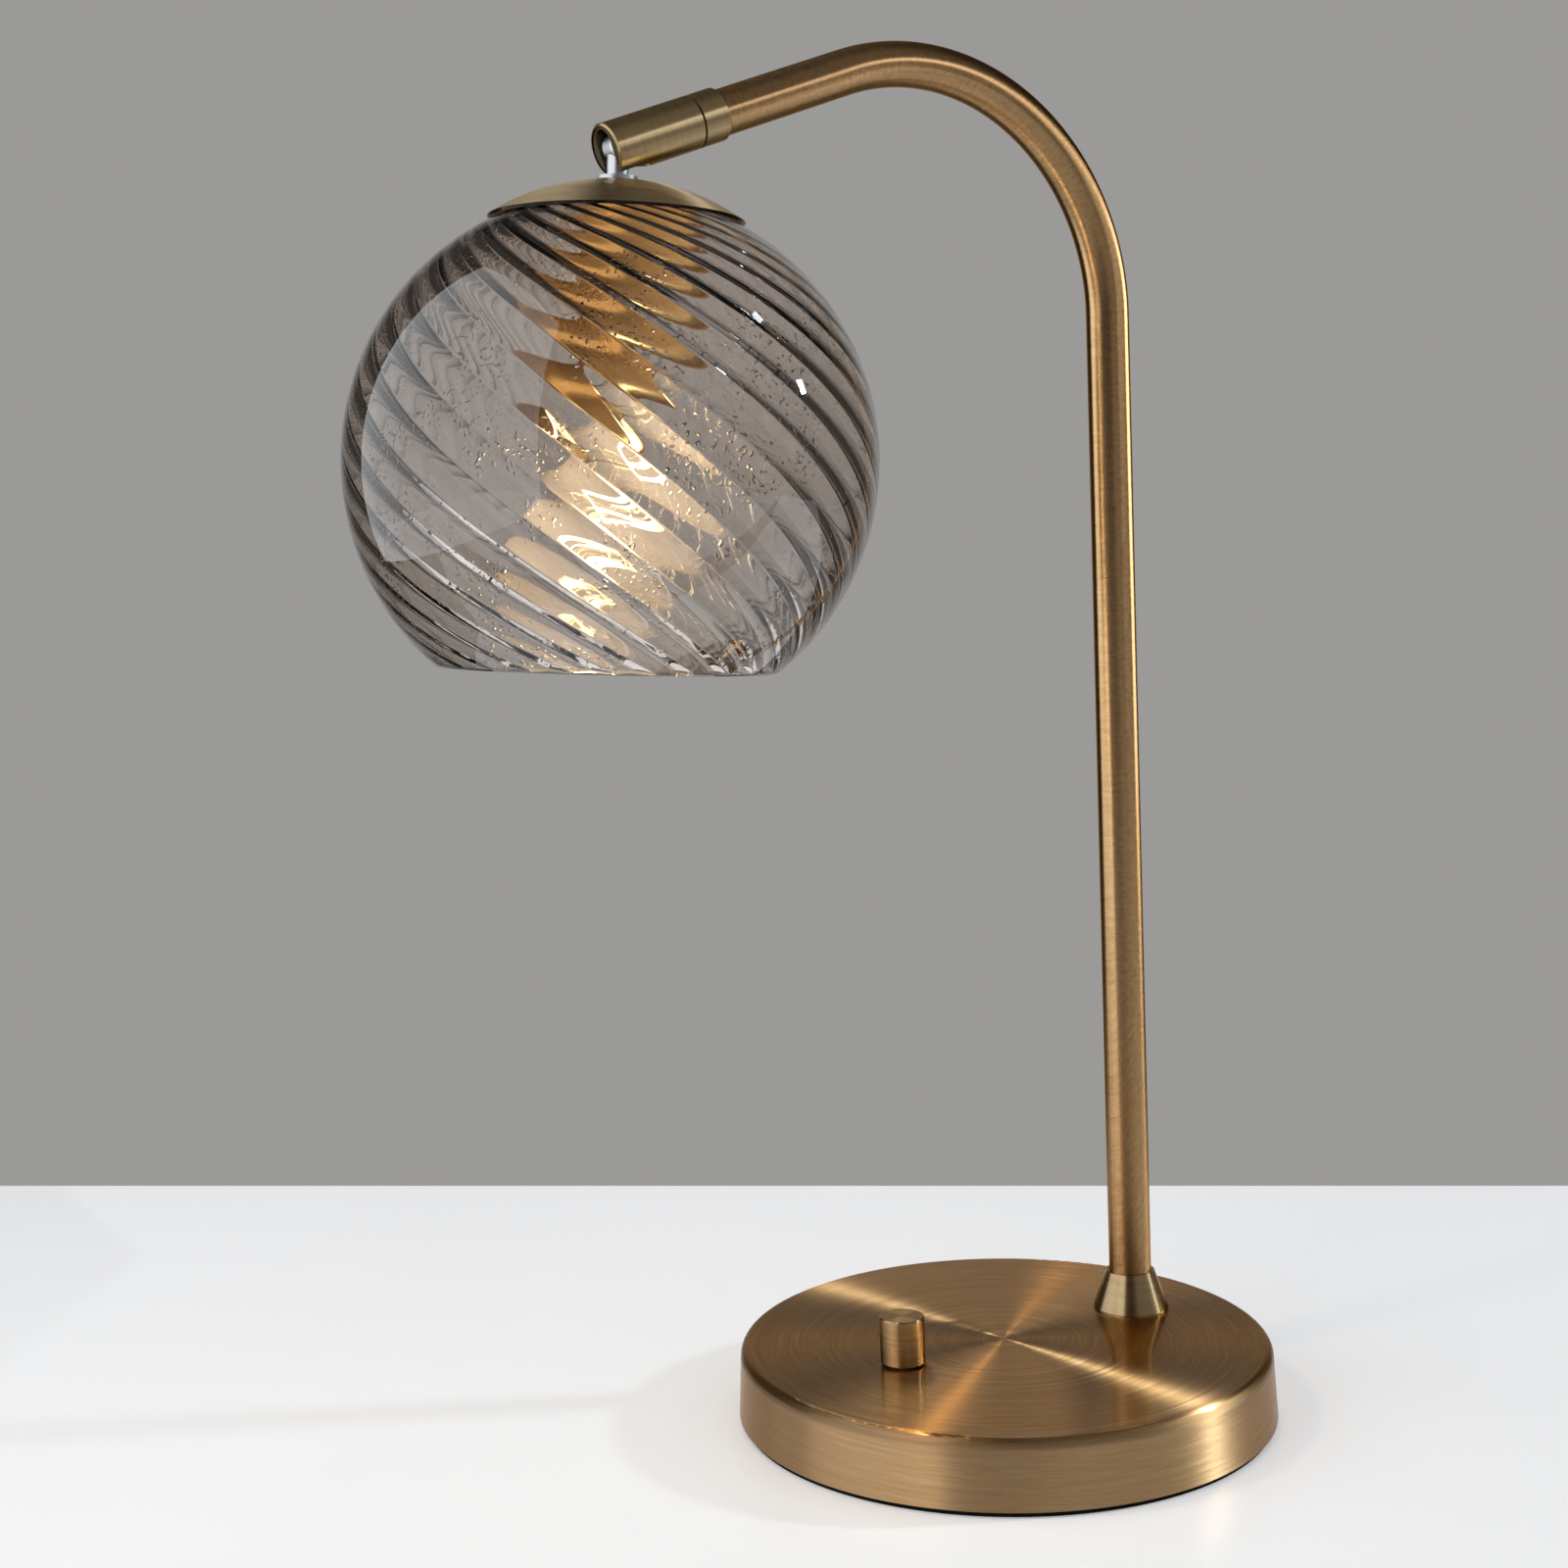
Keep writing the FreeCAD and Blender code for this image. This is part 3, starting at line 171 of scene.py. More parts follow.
def colour_mix(tree, share, first, second):
    """Mix of two colours, each plain or from a node, by a share that comes from a node."""
    node = add(tree, "ShaderNodeMix", data_type="RGBA")
    link(tree, share, node.inputs[0])
    colours = [(*value, 1.0) if isinstance(value, tuple) else value for value in (first, second)]
    feed(tree, node.inputs[6:8], colours)
    return node.outputs[2]


def bump(tree, height, strength, distance):
    node = add(tree, "ShaderNodeBump")
    node.inputs["Strength"].default_value = strength
    node.inputs["Distance"].default_value = distance
    link(tree, height, node.inputs["Height"])
    return node.outputs["Normal"]


def object_place(tree):
    return add(tree, "ShaderNodeTexCoord").outputs["Object"]


def turned(tree, vector, kind, source, target):
    """A direction (VECTOR) or a surface's direction (NORMAL), taken from one space to another."""
    node = add(tree, "ShaderNodeVectorTransform", vector_type=kind, convert_from=source, convert_to=target)
    link(tree, vector, node.inputs[0])
    return node.outputs[0]


def object_normal(tree):
    return turned(tree, add(tree, "ShaderNodeNewGeometry").outputs["Normal"], "NORMAL", "WORLD", "OBJECT")


def brighter(colour, times):
    return tuple(min(1.0, channel * times) for channel in colour)


def finish_surface(tree, shader):
    output = add(tree, "ShaderNodeOutputMaterial")
    link(tree, shader.outputs[0], output.inputs["Surface"])
    return output


# Brushed brass under clear lacquer
BRASS = (0.37, 0.205, 0.078)
BRASS_DARK = (0.21, 0.105, 0.036)
BRASS_PALE = (0.56, 0.38, 0.20)
# Lighter copy of the brass for the collars and barrel: painted light
PAINTED_LIGHT_BRASS = (0.41, 0.295, 0.148)
# A still lighter copy for the cap: painted light
CAP_PAINTED_LIGHT_BRASS = (0.86, 0.67, 0.40)
KNOB_BRASS = (0.45, 0.30, 0.15)
TUBE_BRASS = (0.38, 0.23, 0.105)
GOLD = (0.98, 0.56, 0.19)
# Near black: painted shade inside a bore and under a rim
PAINTED_SHADE_BLACK = (0.016, 0.012, 0.009)
# Near-black brass for the clevis inside the barrel's slot: painted shade
CLEVIS_PAINTED_SHADE = (0.06, 0.045, 0.032)
EDGE_TINT = (0.86, 0.60, 0.36, 1.0)

# Brushing: how close the lines lie, how far they drift round a piece, and the noise levels they start at
FINE_LINES = 2300.0
COARSE_LINES = 640.0
CLOUDS = 22.0
LINE_DRIFT = (0.035, 0.035, 0.035)
TUBE_LINE_DRIFT = 0.004
DARK_LINES = (0.37, 0.52)
PALE_LINES = (0.51, 0.67)
GLOSS_LINES = (0.35, 0.68)
DARK_CLOUDS = (0.45, 0.75)
CLOUD_SHARE = 0.10
GLOSS_SPREAD = 0.03
BRUSH_DEPTH = 0.0001
# Spans of the painted shade: where it fades in at a bore's edge, and how far a face turns down before it goes
# dark
BORE_EDGE = 0.0002
FACING_DOWN = (-0.15, -0.05)
LACQUER_ROUGHNESS = 0.12
LACQUER_IOR = 1.5
QUARTER_TURN = 0.25


def tube_place(tree, position):
    """Direction of the bent stem at a point, and the point's distance along it."""
    x, y, z = separate(tree, position)
    across = math_node(tree, "ADD", x, -BEND_MIDDLE.x)
    up = math_node(tree, "ADD", z, -BEND_FOOT)
    raw = math_node(tree, "ARCTAN2", up, across)
    angle = math_node(tree, "MINIMUM", math_node(tree, "MAXIMUM", raw, 0.0), BEND_ANGLE)
    sideways = math_node(tree, "MULTIPLY", math_node(tree, "SINE", angle), -1.0)
    direction = combine(tree, sideways, 0.0, math_node(tree, "COSINE", angle))
    upright = math_node(tree, "MINIMUM", z, BEND_FOOT)
    bend = math_node(tree, "MULTIPLY", angle, BEND_RADIUS)
    bend_end = BEND_MIDDLE + Vector((math.cos(BEND_ANGLE), 0.0, math.sin(BEND_ANGLE))) * BEND_RADIUS
    past_bend = vector_node(tree, "DOT_PRODUCT", vector_node(tree, "SUBTRACT", position, bend_end), RUN)
    run = math_node(tree, "MAXIMUM", past_bend, 0.0)
    along = math_node(tree, "ADD", math_node(tree, "ADD", upright, bend), run)
    return direction, along


def tube_lines(tree, position):
    """Way round the bent stem, distance along it, and where its brush lines are read."""
    direction, along = tube_place(tree, position)
    round_way = vector_node(tree, "CROSS_PRODUCT", direction, object_normal(tree))
    drift = math_node(tree, "MULTIPLY", separate(tree, round_way)[1], TUBE_LINE_DRIFT)
    return round_way, along, combine(tree, along, 0.0, drift)


def turned_lines(tree, position, axis, point):
    """Way round an axis, distance along it and from it, and where the brush lines are read."""
    arm = vector_node(tree, "SUBTRACT", position, point)
    along = vector_node(tree, "DOT_PRODUCT", arm, axis)
    round_way = vector_node(tree, "CROSS_PRODUCT", axis, arm)
    radius = vector_node(tree, "LENGTH", round_way)
    drift = vector_node(tree, "MULTIPLY", round_way, LINE_DRIFT)
    return round_way, along, radius, vector_node(tree, "ADD", combine(tree, along, radius, 0.0), drift)


def brass(name, axis=UP, point=(0.0, 0.0, 0.0), tube=False, roughness=0.36, anisotropy=0.9, base=BRASS,
          streak=0.4, scale=1.0, edge=None, coat=0.45, flat=(), bore=None, under=False):
    """Antique brass, brushed round an axis or round the bent stem.

    edge pales it from one radius out to another, and flat changes the roughness from one height to another.
    bore paints shade, near black, on what lies inside a radius, and under paints shade, near black, on what
    faces down the axis.
    """
    material, tree = new_material(name)
    position = object_place(tree)
    if tube:
        round_way, along, lines_at = tube_lines(tree, position)
        radius = None
    else:
        round_way, along, radius, lines_at = turned_lines(tree, position, axis, point)
    tangent = vector_node(tree, "NORMALIZE", turned(tree, round_way, "VECTOR", "OBJECT", "WORLD"))
    fine = noise(tree, lines_at, FINE_LINES * scale, 2.0, 0.6)
    coarse = noise(tree, lines_at, COARSE_LINES * scale, 3.0, 0.65)
    cloud = noise(tree, position, CLOUDS)
    lines = math_node(tree, "MULTIPLY", math_node(tree, "ADD", fine, coarse), 0.5)
    tone = colour_mix(tree, mapped(tree, lines, DARK_LINES, (streak, 0.0)), base, BRASS_DARK)
    tone = colour_mix(tree, mapped(tree, lines, PALE_LINES, (0.0, streak)), tone, BRASS_PALE)
    tone = colour_mix(tree, mapped(tree, cloud, DARK_CLOUDS, (0.0, CLOUD_SHARE)), tone, BRASS_DARK)
    if edge:
        low, high, amount = edge
        tone = colour_mix(tree, mapped(tree, radius, (low, high), (0.0, amount)), tone, BRASS_PALE)
    # Painted shade: near black inside the bore's radius
    if bore:
        tone = colour_mix(tree, mapped(tree, radius, (bore, bore + BORE_EDGE), (1.0, 0.0)), tone, PAINTED_SHADE_BLACK)
    # Painted shade: near black where the surface faces down the axis
    if under:
        rise = vector_node(tree, "DOT_PRODUCT", object_normal(tree), axis)
        tone = colour_mix(tree, mapped(tree, rise, FACING_DOWN, (1.0, 0.0)), tone, PAINTED_SHADE_BLACK)
    rough = mapped(tree, lines, GLOSS_LINES, (roughness - GLOSS_SPREAD, roughness + GLOSS_SPREAD))
    for low, high, change in flat:
        rough = math_node(tree, "ADD", rough, mapped(tree, along, (low, high), (0.0, change)))
    shader = add(tree, "ShaderNodeBsdfPrincipled")
    link(tree, tone, shader.inputs["Base Color"])
    link(tree, rough, shader.inputs["Roughness"])
    link(tree, bump(tree, lines, 0.03, BRUSH_DEPTH), shader.inputs["Normal"])
    link(tree, tangent, shader.inputs["Tangent"])
    shader.inputs["Metallic"].default_value = 1.0
    shader.inputs["Specular Tint"].default_value = EDGE_TINT
    shader.inputs["Anisotropic"].default_value = anisotropy
    shader.inputs["Anisotropic Rotation"].default_value = QUARTER_TURN
    shader.inputs["Coat Weight"].default_value = coat
    shader.inputs["Coat Roughness"].default_value = LACQUER_ROUGHNESS
    shader.inputs["Coat IOR"].default_value = LACQUER_IOR
    finish_surface(tree, shader)
    return material


# Levels between which most of a noise lies, and the depth of a plain surface's grain
NOISE_SPAN = (0.3, 0.7)
CLOUD_SPAN = (0.35, 0.7)
GRAIN_DEPTH = 0.0002


def plain(name, base, second, metallic, roughness, scale, bump_strength=0.05, specular=0.5):
    """Painted, moulded or plated surface with a slight change of tone and gloss."""
    material, tree = new_material(name)
    position = object_place(tree)
    grain = noise(tree, position, scale, 4.0, 0.6)
    cloud = noise(tree, position, scale / 9)
    shader = add(tree, "ShaderNodeBsdfPrincipled")
    tone = colour_mix(tree, mapped(tree, cloud, CLOUD_SPAN, (0.0, 1.0)), base, second)
    link(tree, tone, shader.inputs["Base Color"])
    rough = mapped(tree, grain, NOISE_SPAN, (roughness * 0.85, roughness * 1.2))
    link(tree, rough, shader.inputs["Roughness"])
    link(tree, bump(tree, grain, bump_strength, GRAIN_DEPTH), shader.inputs["Normal"])
    shader.inputs["Metallic"].default_value = metallic
    shader.inputs["Specular IOR Level"].default_value = specular
    finish_surface(tree, shader)
    return material


# Glass: clear for the bulb, with a haze of light round its filaments, and smoke for the globe, with seeds
CLEAR_TINT = (0.99, 0.98, 0.96)
SMOKE_TINT = (0.88, 0.825, 0.785)
SMOKE_BODY = (0.50, 0.42, 0.38, 1.0)
SMOKE_DENSITY = 32.0
HAZE = (1.0, 0.71, 0.38)
HAZE_STRENGTH = 0.20
HAZE_REACH = (0.022, 0.044)
HAZE_POWER = 1.5
WAVE_SCALE = 90.0
SEED_SCALE = 760.0
SEED_LEVELS = (0.66, 0.78)
PATCH_SCALE = 42.0
PATCH_LEVELS = (0.50, 0.62)
HOLLOW_FACE = (GLOBE_RADIUS - 0.0010, GLOBE_RADIUS - 0.0006)
GLASS_BUMP_DEPTH = 0.0006


def haze(tree, position):
    reach = vector_node(tree, "DISTANCE", position, LIT_POINT)
    near = math_node(tree, "POWER", mapped(tree, reach, HAZE_REACH, (1.0, 0.0)), HAZE_POWER)
    return colour_mix(tree, near, (0.0, 0.0, 0.0), HAZE)


def seeds(tree, position):
    """Small raised seeds, in patches, on the hollow's face alone."""
    reach = vector_node(tree, "DISTANCE", position, GLOBE_CENTRE)
    inner = mapped(tree, reach, HOLLOW_FACE, (1.0, 0.0))
    patch = mapped(tree, noise(tree, position, PATCH_SCALE, 2.0), PATCH_LEVELS, (0.0, 1.0))
    dots = mapped(tree, noise(tree, position, SEED_SCALE, 0.0), SEED_LEVELS, (0.0, 1.0))
    return math_node(tree, "MULTIPLY", dots, math_node(tree, "MULTIPLY", inner, patch))


def glass(name, tint, ior):
    """Glass with a faint change of tint. The caller gives it a bump and joins its shader to the output."""
    material, tree = new_material(name)
    position = object_place(tree)
    shader = add(tree, "ShaderNodeBsdfPrincipled")
    cloud = noise(tree, position, 35.0)
    tone = colour_mix(tree, mapped(tree, cloud, NOISE_SPAN, (0.0, 1.0)), tint, brighter(tint, 1.04))
    link(tree, tone, shader.inputs["Base Color"])
    shader.inputs["Roughness"].default_value = 0.0
    shader.inputs["IOR"].default_value = ior
    shader.inputs["Transmission Weight"].default_value = 1.0
    return material, tree, position, shader


def bulb_glass(name, lit):
    material, tree, position, shader = glass(name, CLEAR_TINT, 1.45)
    if lit:
        link(tree, haze(tree, position), shader.inputs["Emission Color"])
        shader.inputs["Emission Strength"].default_value = HAZE_STRENGTH
    waves = noise(tree, position, WAVE_SCALE, 2.0)
    link(tree, bump(tree, waves, 0.25, GLASS_BUMP_DEPTH), shader.inputs["Normal"])
    finish_surface(tree, shader)
    return material


def smoke_glass():
    """Tinted glass whose body darkens with the depth that the light passes."""
    material, tree, position, shader = glass("smoke_glass", SMOKE_TINT, 1.52)
    link(tree, bump(tree, seeds(tree, position), 0.7, GLASS_BUMP_DEPTH), shader.inputs["Normal"])
    output = finish_surface(tree, shader)
    absorb = add(tree, "ShaderNodeVolumeAbsorption")
    absorb.inputs["Color"].default_value = SMOKE_BODY
    absorb.inputs["Density"].default_value = SMOKE_DENSITY
    link(tree, absorb.outputs[0], output.inputs["Volume"])
    return material


# Lit filaments: they glow round the lit point and are dark further out
HOT_WIRE = (1.0, 0.73, 0.41)
COOL_WIRE = (0.02, 0.012, 0.005)
HOT_REACH = (0.008, 0.016)
FILAMENT_STRENGTH = 80.0


def lit_filament():
    material, tree = new_material("lit_filament")
    position = object_place(tree)
    shader = add(tree, "ShaderNodeBsdfPrincipled")
    beads = noise(tree, position, 700.0, 2.0)
    tone = colour_mix(tree, mapped(tree, beads, (0.35, 0.65), (0.0, 1.0)), HOT_WIRE, brighter(HOT_WIRE, 1.25))
    link(tree, tone, shader.inputs["Base Color"])
    reach = vector_node(tree, "DISTANCE", position, LIT_POINT)
    hot = colour_mix(tree, mapped(tree, reach, HOT_REACH, (1.0, 0.0)), COOL_WIRE, tone)
    link(tree, hot, shader.inputs["Emission Color"])
    shader.inputs["Emission Strength"].default_value = FILAMENT_STRENGTH
    shader.inputs["Roughness"].default_value = 0.5
    finish_surface(tree, shader)
    return material


def dress(material, *nodes):
    for node in nodes:
        for slot in NODES[node].material_slots:
            slot.material = material


# Brass pieces. The cover's rim is worn pale, and its side, rounded edge and top differ in gloss.
COVER_RIM = (0.0965, 0.0988, 0.35)
COVER_GLOSS = ((0.0228, 0.0240, 0.22), (0.0260, 0.0267, -0.285))
dress(brass("brass_base", roughness=0.40, anisotropy=1.0, streak=0.65, scale=0.9, edge=COVER_RIM,
            flat=COVER_GLOSS), "base_cover")
dress(brass("brass_knob", point=(KNOB_X, 0.0, 0.0), roughness=0.30, base=KNOB_BRASS), "dimmer_knob")
# Collar, end collar and barrel take the lighter copy of the brass, which is painted light
dress(brass("brass_collar", point=(STEM_X, 0.0, 0.0), roughness=0.32, base=PAINTED_LIGHT_BRASS), "stem_collar")
dress(brass("brass_end_collar", axis=RUN, point=PIN, roughness=0.33, anisotropy=0.85, base=PAINTED_LIGHT_BRASS,
            streak=0.22, coat=0.2), "end_collar")
# The barrel is near black inside its bore: painted shade
dress(brass("brass_barrel", axis=RUN, point=PIN, roughness=0.33, anisotropy=0.85, base=PAINTED_LIGHT_BRASS,
            streak=0.22, coat=0.2, bore=BARREL_BORE), "swivel_barrel")
# The clevis in the barrel's slot is near black: painted shade
dress(brass("brass_clevis", axis=RUN, point=PIN, base=CLEVIS_PAINTED_SHADE, streak=0.1, coat=0.1), "knuckle_clevis")
# Cap: lighter brass, painted light, and near black where it faces down under its rim, painted shade
dress(brass("brass_cap", axis=SHADE_AXIS, point=PIN, base=CAP_PAINTED_LIGHT_BRASS, streak=0.3, under=True), "shade_cap")
dress(brass("brass_cup", axis=SHADE_AXIS, point=PIN, roughness=0.25, anisotropy=0.5, base=GOLD, streak=0.15),
      "socket_cup")

# Plated, cast, moulded and other plain pieces
dress(plain("bright_plating", (0.60, 0.60, 0.61), (0.50, 0.50, 0.52), 1.0, 0.2, 400.0),
      "cap_nut", "cup_nut", "swivel_stud", "stud_nut", "dimmer_nut", "pivot_pin")
dress(plain("satin_plating", (0.56, 0.56, 0.57), (0.44, 0.44, 0.46), 1.0, 0.36, 400.0),
      "tilt_stud", "neck_washer")
dress(plain("zinc_plating", (0.58, 0.58, 0.57), (0.48, 0.48, 0.49), 1.0, 0.38, 300.0),
      "base_plate", "plate_screws", "ballast_spacers", "stem_nipple", "tube_insert", "stiffener_plate",
      "lock_washer", "nipple_nut", "spring_washer", "dimmer_shaft")
dress(plain("cast_iron", (0.11, 0.11, 0.12), (0.16, 0.14, 0.13), 0.6, 0.7, 500.0, 0.3), "ballast_weight")
dress(plain("black_foam", (0.005, 0.005, 0.005), (0.010, 0.010, 0.009), 0.0, 0.9, 1400.0, 0.5, specular=0.1),
      "foam_pad", "shade_gasket")
dress(plain("black_moulding", (0.016, 0.016, 0.017), (0.028, 0.027, 0.026), 0.0, 0.45, 900.0, 0.08),
      "cord_bush", "swivel_washer", "friction_washers", "dimmer_body", "shade_ring", "terminal_block")
dress(plain("lead_sleeve", (0.03, 0.03, 0.032), (0.045, 0.044, 0.042), 0.0, 0.55, 800.0, 0.1),
      "stem_lead", "dimmer_lead", "socket_lead")
dress(plain("ceramic", (0.80, 0.78, 0.73), (0.70, 0.68, 0.62), 0.0, 0.5, 500.0, 0.15), "socket_core")
dress(plain("bare_brass", (0.80, 0.62, 0.34), (0.70, 0.52, 0.27), 1.0, 0.22, 300.0),
      "socket_shell", "socket_contact", "bulb_base")
dress(bulb_glass("bulb_clear", True), "bulb_glass")
dress(bulb_glass("clear_glass", False), "bulb_mount")
dress(lit_filament(), "bulb_filaments")


def mesh_from(name, verts, faces, smooth=False):
    mesh = bpy.data.meshes.new(name)
    mesh.from_pydata(verts, [], faces)
    mesh.polygons.foreach_set("use_smooth", [smooth] * len(mesh.polygons))
    mesh.update()
    return mesh


def new_piece(name, mesh, material):
    piece = bpy.data.objects.new(name, mesh)
    bpy.context.scene.collection.objects.link(piece)
    mesh.materials.append(material)
    return piece


def globe_mesh():
    top = math.acos(NECK_RADIUS / GLOBE_RADIUS)
    mouth = -math.acos(MOUTH_RADIUS / GLOBE_RADIUS)
    columns = RIB_COUNT * RIB_COLUMNS
    latitudes = [top + (mouth - top) * row / GLOBE_ROWS for row in range(GLOBE_ROWS + 1)]
    # A rib has a broad round back, with a sharp valley between it and the next
    valleys = [1 - abs(math.cos(math.pi * column / RIB_COLUMNS)) for column in range(columns)]
    outer_radii = [GLOBE_RADIUS] * columns
    inner_radii = [GLOBE_RADIUS - GLOBE_WALL + RIB_RISE * valley for valley in valleys]
    verts = []
    for radii in (outer_radii, inner_radii):
        for latitude in latitudes:
            swirl = -RIB_SLANT * math.log(math.tan(math.pi / 4 + latitude / 2))
            for column, radius in enumerate(radii):
                angle = 2 * math.pi * column / columns + swirl
                verts.append((radius * math.cos(latitude) * math.cos(angle),
                              radius * math.cos(latitude) * math.sin(angle), radius * math.sin(latitude)))
    faces = []
    inner = (GLOBE_ROWS + 1) * columns
    for row in range(GLOBE_ROWS):
        for column in range(columns):
            after = (column + 1) % columns
            a, b = row * columns + column, row * columns + after
            c, d = a + columns, b + columns
            faces.append((a, c, d, b))
            faces.append((inner + a, inner + b, inner + d, inner + c))
    low = GLOBE_ROWS * columns
    for column in range(columns):
        after = (column + 1) % columns
        faces.append((column, after, inner + after, inner + column))
        faces.append((low + column, inner + low + column, inner + low + after, low + after))
    mesh = mesh_from("globe_glass", verts, faces, smooth=True)
    mesh.transform(Matrix.Translation(GLOBE_CENTRE) @ Matrix.Rotation(TILT, 4, "Y"))
    mesh.update()
    return mesh


globe = new_piece("globe_glass", globe_mesh(), smoke_glass())
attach(globe, "shade")
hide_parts("glass_shade")
# The glass throws no dark shadow: light passes through its thin wall
for piece in (globe, NODES["bulb_glass"], NODES["bulb_mount"]):
    piece.visible_shadow = False


# Bent stem: the same tube as the CAD node, with finer steps round the bend for even highlights
def tube_mesh():
    stations = [(Vector((STEM_X, 0.0, height)), 0.0) for height in UPRIGHT_RINGS]
    for step in range(BEND_STEPS + 1):
        angle = BEND_ANGLE * step / BEND_STEPS
        stations.append((BEND_MIDDLE + Vector((math.cos(angle), 0.0, math.sin(angle))) * BEND_RADIUS, angle))
    run_start = stations[-1][0]
    stations += [(run_start + RUN * length, BEND_ANGLE) for length in (TUBE_RUN / 2, TUBE_RUN)]
    beside = Vector((0.0, 1.0, 0.0))
    turns = [2 * math.pi * side / TUBE_SIDES for side in range(TUBE_SIDES)]
    rings = []
    for radius in (TUBE_RADIUS, TUBE_BORE_RADIUS):
        for place, angle in stations:
            out = Vector((math.cos(angle), 0.0, math.sin(angle)))
            rings.append([place + (out * math.cos(turn) + beside * math.sin(turn)) * radius
                          for turn in turns])
    # The two end faces have rings of their own, so that their edges stay sharp
    count = len(stations)
    rings += [rings[0], rings[count], rings[count - 1], rings[2 * count - 1]]
    verts = [tuple(point) for ring in rings for point in ring]
    pairs = [(row, row + 1) for row in range(count - 1)]
    pairs += [(count + row + 1, count + row) for row in range(count - 1)]
    pairs += [(2 * count + 1, 2 * count), (2 * count + 2, 2 * count + 3)]
    faces = []
    for low, high in pairs:
        low_start, high_start = low * TUBE_SIDES, high * TUBE_SIDES
        for side in range(TUBE_SIDES):
            after = (side + 1) % TUBE_SIDES
            faces.append((low_start + side, low_start + after, high_start + after, high_start + side))
    return mesh_from("tube_brass", verts, faces, smooth=True)


tube = new_piece("tube_brass", tube_mesh(), brass("brass_tube", tube=True, roughness=0.30, base=TUBE_BRASS,
                                                  streak=0.45, coat=0.12))
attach(tube, "base")
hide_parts("stem_tube")

# Camera, fitted to the photograph: its lens and shift in the photograph's pixels, its place and its axes
PHOTO_WIDTH = 1600
PHOTO_MIDDLE = PHOTO_WIDTH / 2
LENS_PIXELS = 2475.9
SHIFT_PIXELS = (66.6, 84.8)
SENSOR_MM = 36.0
EYE = Vector((-0.52467, -0.72359, 0.34168))
AHEAD = Vector((0.49310, 0.86633, -0.07959)).normalized()
RIGHT = Vector((0.86703, -0.49689, -0.03694))
RIGHT = (RIGHT - AHEAD * RIGHT.dot(AHEAD)).normalized()
ABOVE = RIGHT.cross(AHEAD)
camera_data = bpy.data.cameras.new("camera")
camera_data.sensor_width = SENSOR_MM
camera_data.lens = SENSOR_MM * LENS_PIXELS / PHOTO_WIDTH
camera_data.shift_x = SHIFT_PIXELS[0] / PHOTO_WIDTH
camera_data.shift_y = -SHIFT_PIXELS[1] / PHOTO_WIDTH
camera_data.clip_start = 0.01
camera_data.clip_end = 100.0
camera = bpy.data.objects.new("camera", camera_data)
camera.matrix_world = Matrix.Translation(EYE) @ Matrix((RIGHT, ABOVE, -AHEAD)).transposed().to_4x4()
bpy.context.scene.collection.objects.link(camera)
bpy.context.scene.camera = camera


def table_point(x, y):
    """Point of the table under a pixel of the photograph."""
    across = (x - PHOTO_MIDDLE + SHIFT_PIXELS[0]) / LENS_PIXELS
    down = (y - PHOTO_MIDDLE + SHIFT_PIXELS[1]) / LENS_PIXELS
    way = AHEAD + RIGHT * across - ABOVE * down
    return EYE + way * (-EYE.z / way.z)


def stage_piece(name, points, material):
    """One flat face that belongs to the stage and not to the lamp."""
    mesh = mesh_from(name, [tuple(point) for point in points], [tuple(range(len(points)))])
    piece = new_piece(name, mesh, material)
    return piece


# Table: a pale sheet with its back edge behind the lamp
TABLE_EDGE_Y = 1210
TABLE_EDGE_X = (-200, 1800)
TABLE_HALF_WIDTH = 1.6
TABLE_DEPTH = 2.2
TABLE_TONES = ((0.78, 0.77, 0.775), (0.80, 0.79, 0.795))
TABLE_GLOW = 0.31


def table_material():
    material, tree = new_material("table_white")
    shader = add(tree, "ShaderNodeBsdfPrincipled")
    cloud = noise(tree, object_place(tree), 3.0)
    tone = colour_mix(tree, mapped(tree, cloud, NOISE_SPAN, (0.0, 1.0)), *TABLE_TONES)
    link(tree, tone, shader.inputs["Base Color"])
    link(tree, tone, shader.inputs["Emission Color"])
    shader.inputs["Emission Strength"].default_value = TABLE_GLOW
    shader.inputs["Roughness"].default_value = 0.32
    shader.inputs["Specular IOR Level"].default_value = 0.35
    finish_surface(tree, shader)
    return material


def table_corners():
    left, right = (table_point(x, TABLE_EDGE_Y) for x in TABLE_EDGE_X)
    edge_way = (right - left).normalized()
    front = Vector((edge_way.y, -edge_way.x, 0.0)) * TABLE_DEPTH
    middle = (left + right) / 2
    back_left = middle - edge_way * TABLE_HALF_WIDTH
    back_right = middle + edge_way * TABLE_HALF_WIDTH
    return [back_left, back_right, back_right + front, back_left + front]


stage_piece("table", table_corners(), table_material())

# Backdrop: an even grey that only the camera sees
BACKDROP_RADIUS = 9.0
BACKDROP_GREY = (0.3278, 0.3231, 0.3140)


def emitting(name, colour):
    material, tree = new_material(name)
    shader = add(tree, "ShaderNodeEmission")
    shader.inputs["Color"].default_value = (*colour, 1.0)
    finish_surface(tree, shader)
    return material


dome_mesh = bpy.data.meshes.new("backdrop")
shape = bmesh.new()
bmesh.ops.create_icosphere(shape, subdivisions=3, radius=BACKDROP_RADIUS)
bmesh.ops.reverse_faces(shape, faces=shape.faces)
shape.to_mesh(dome_mesh)
shape.free()
dome = new_piece("backdrop", dome_mesh, emitting("backdrop_grey", BACKDROP_GREY))
dome.visible_diffuse = False
dome.visible_glossy = False
dome.visible_transmission = False
dome.visible_shadow = False

# Ways on the table: from the lamp towards the camera, and to the camera's right
BACK = Vector((-0.5289, -0.8487, 0.0))
SIDE = Vector((0.8487, -0.5289, 0.0))


def around(turn, distance, height):
    """Place at a turn to the right of the camera's side, seen from above."""
    angle = math.radians(turn)
    return (BACK * math.cos(angle) + SIDE * math.sin(angle)) * distance + UP * height


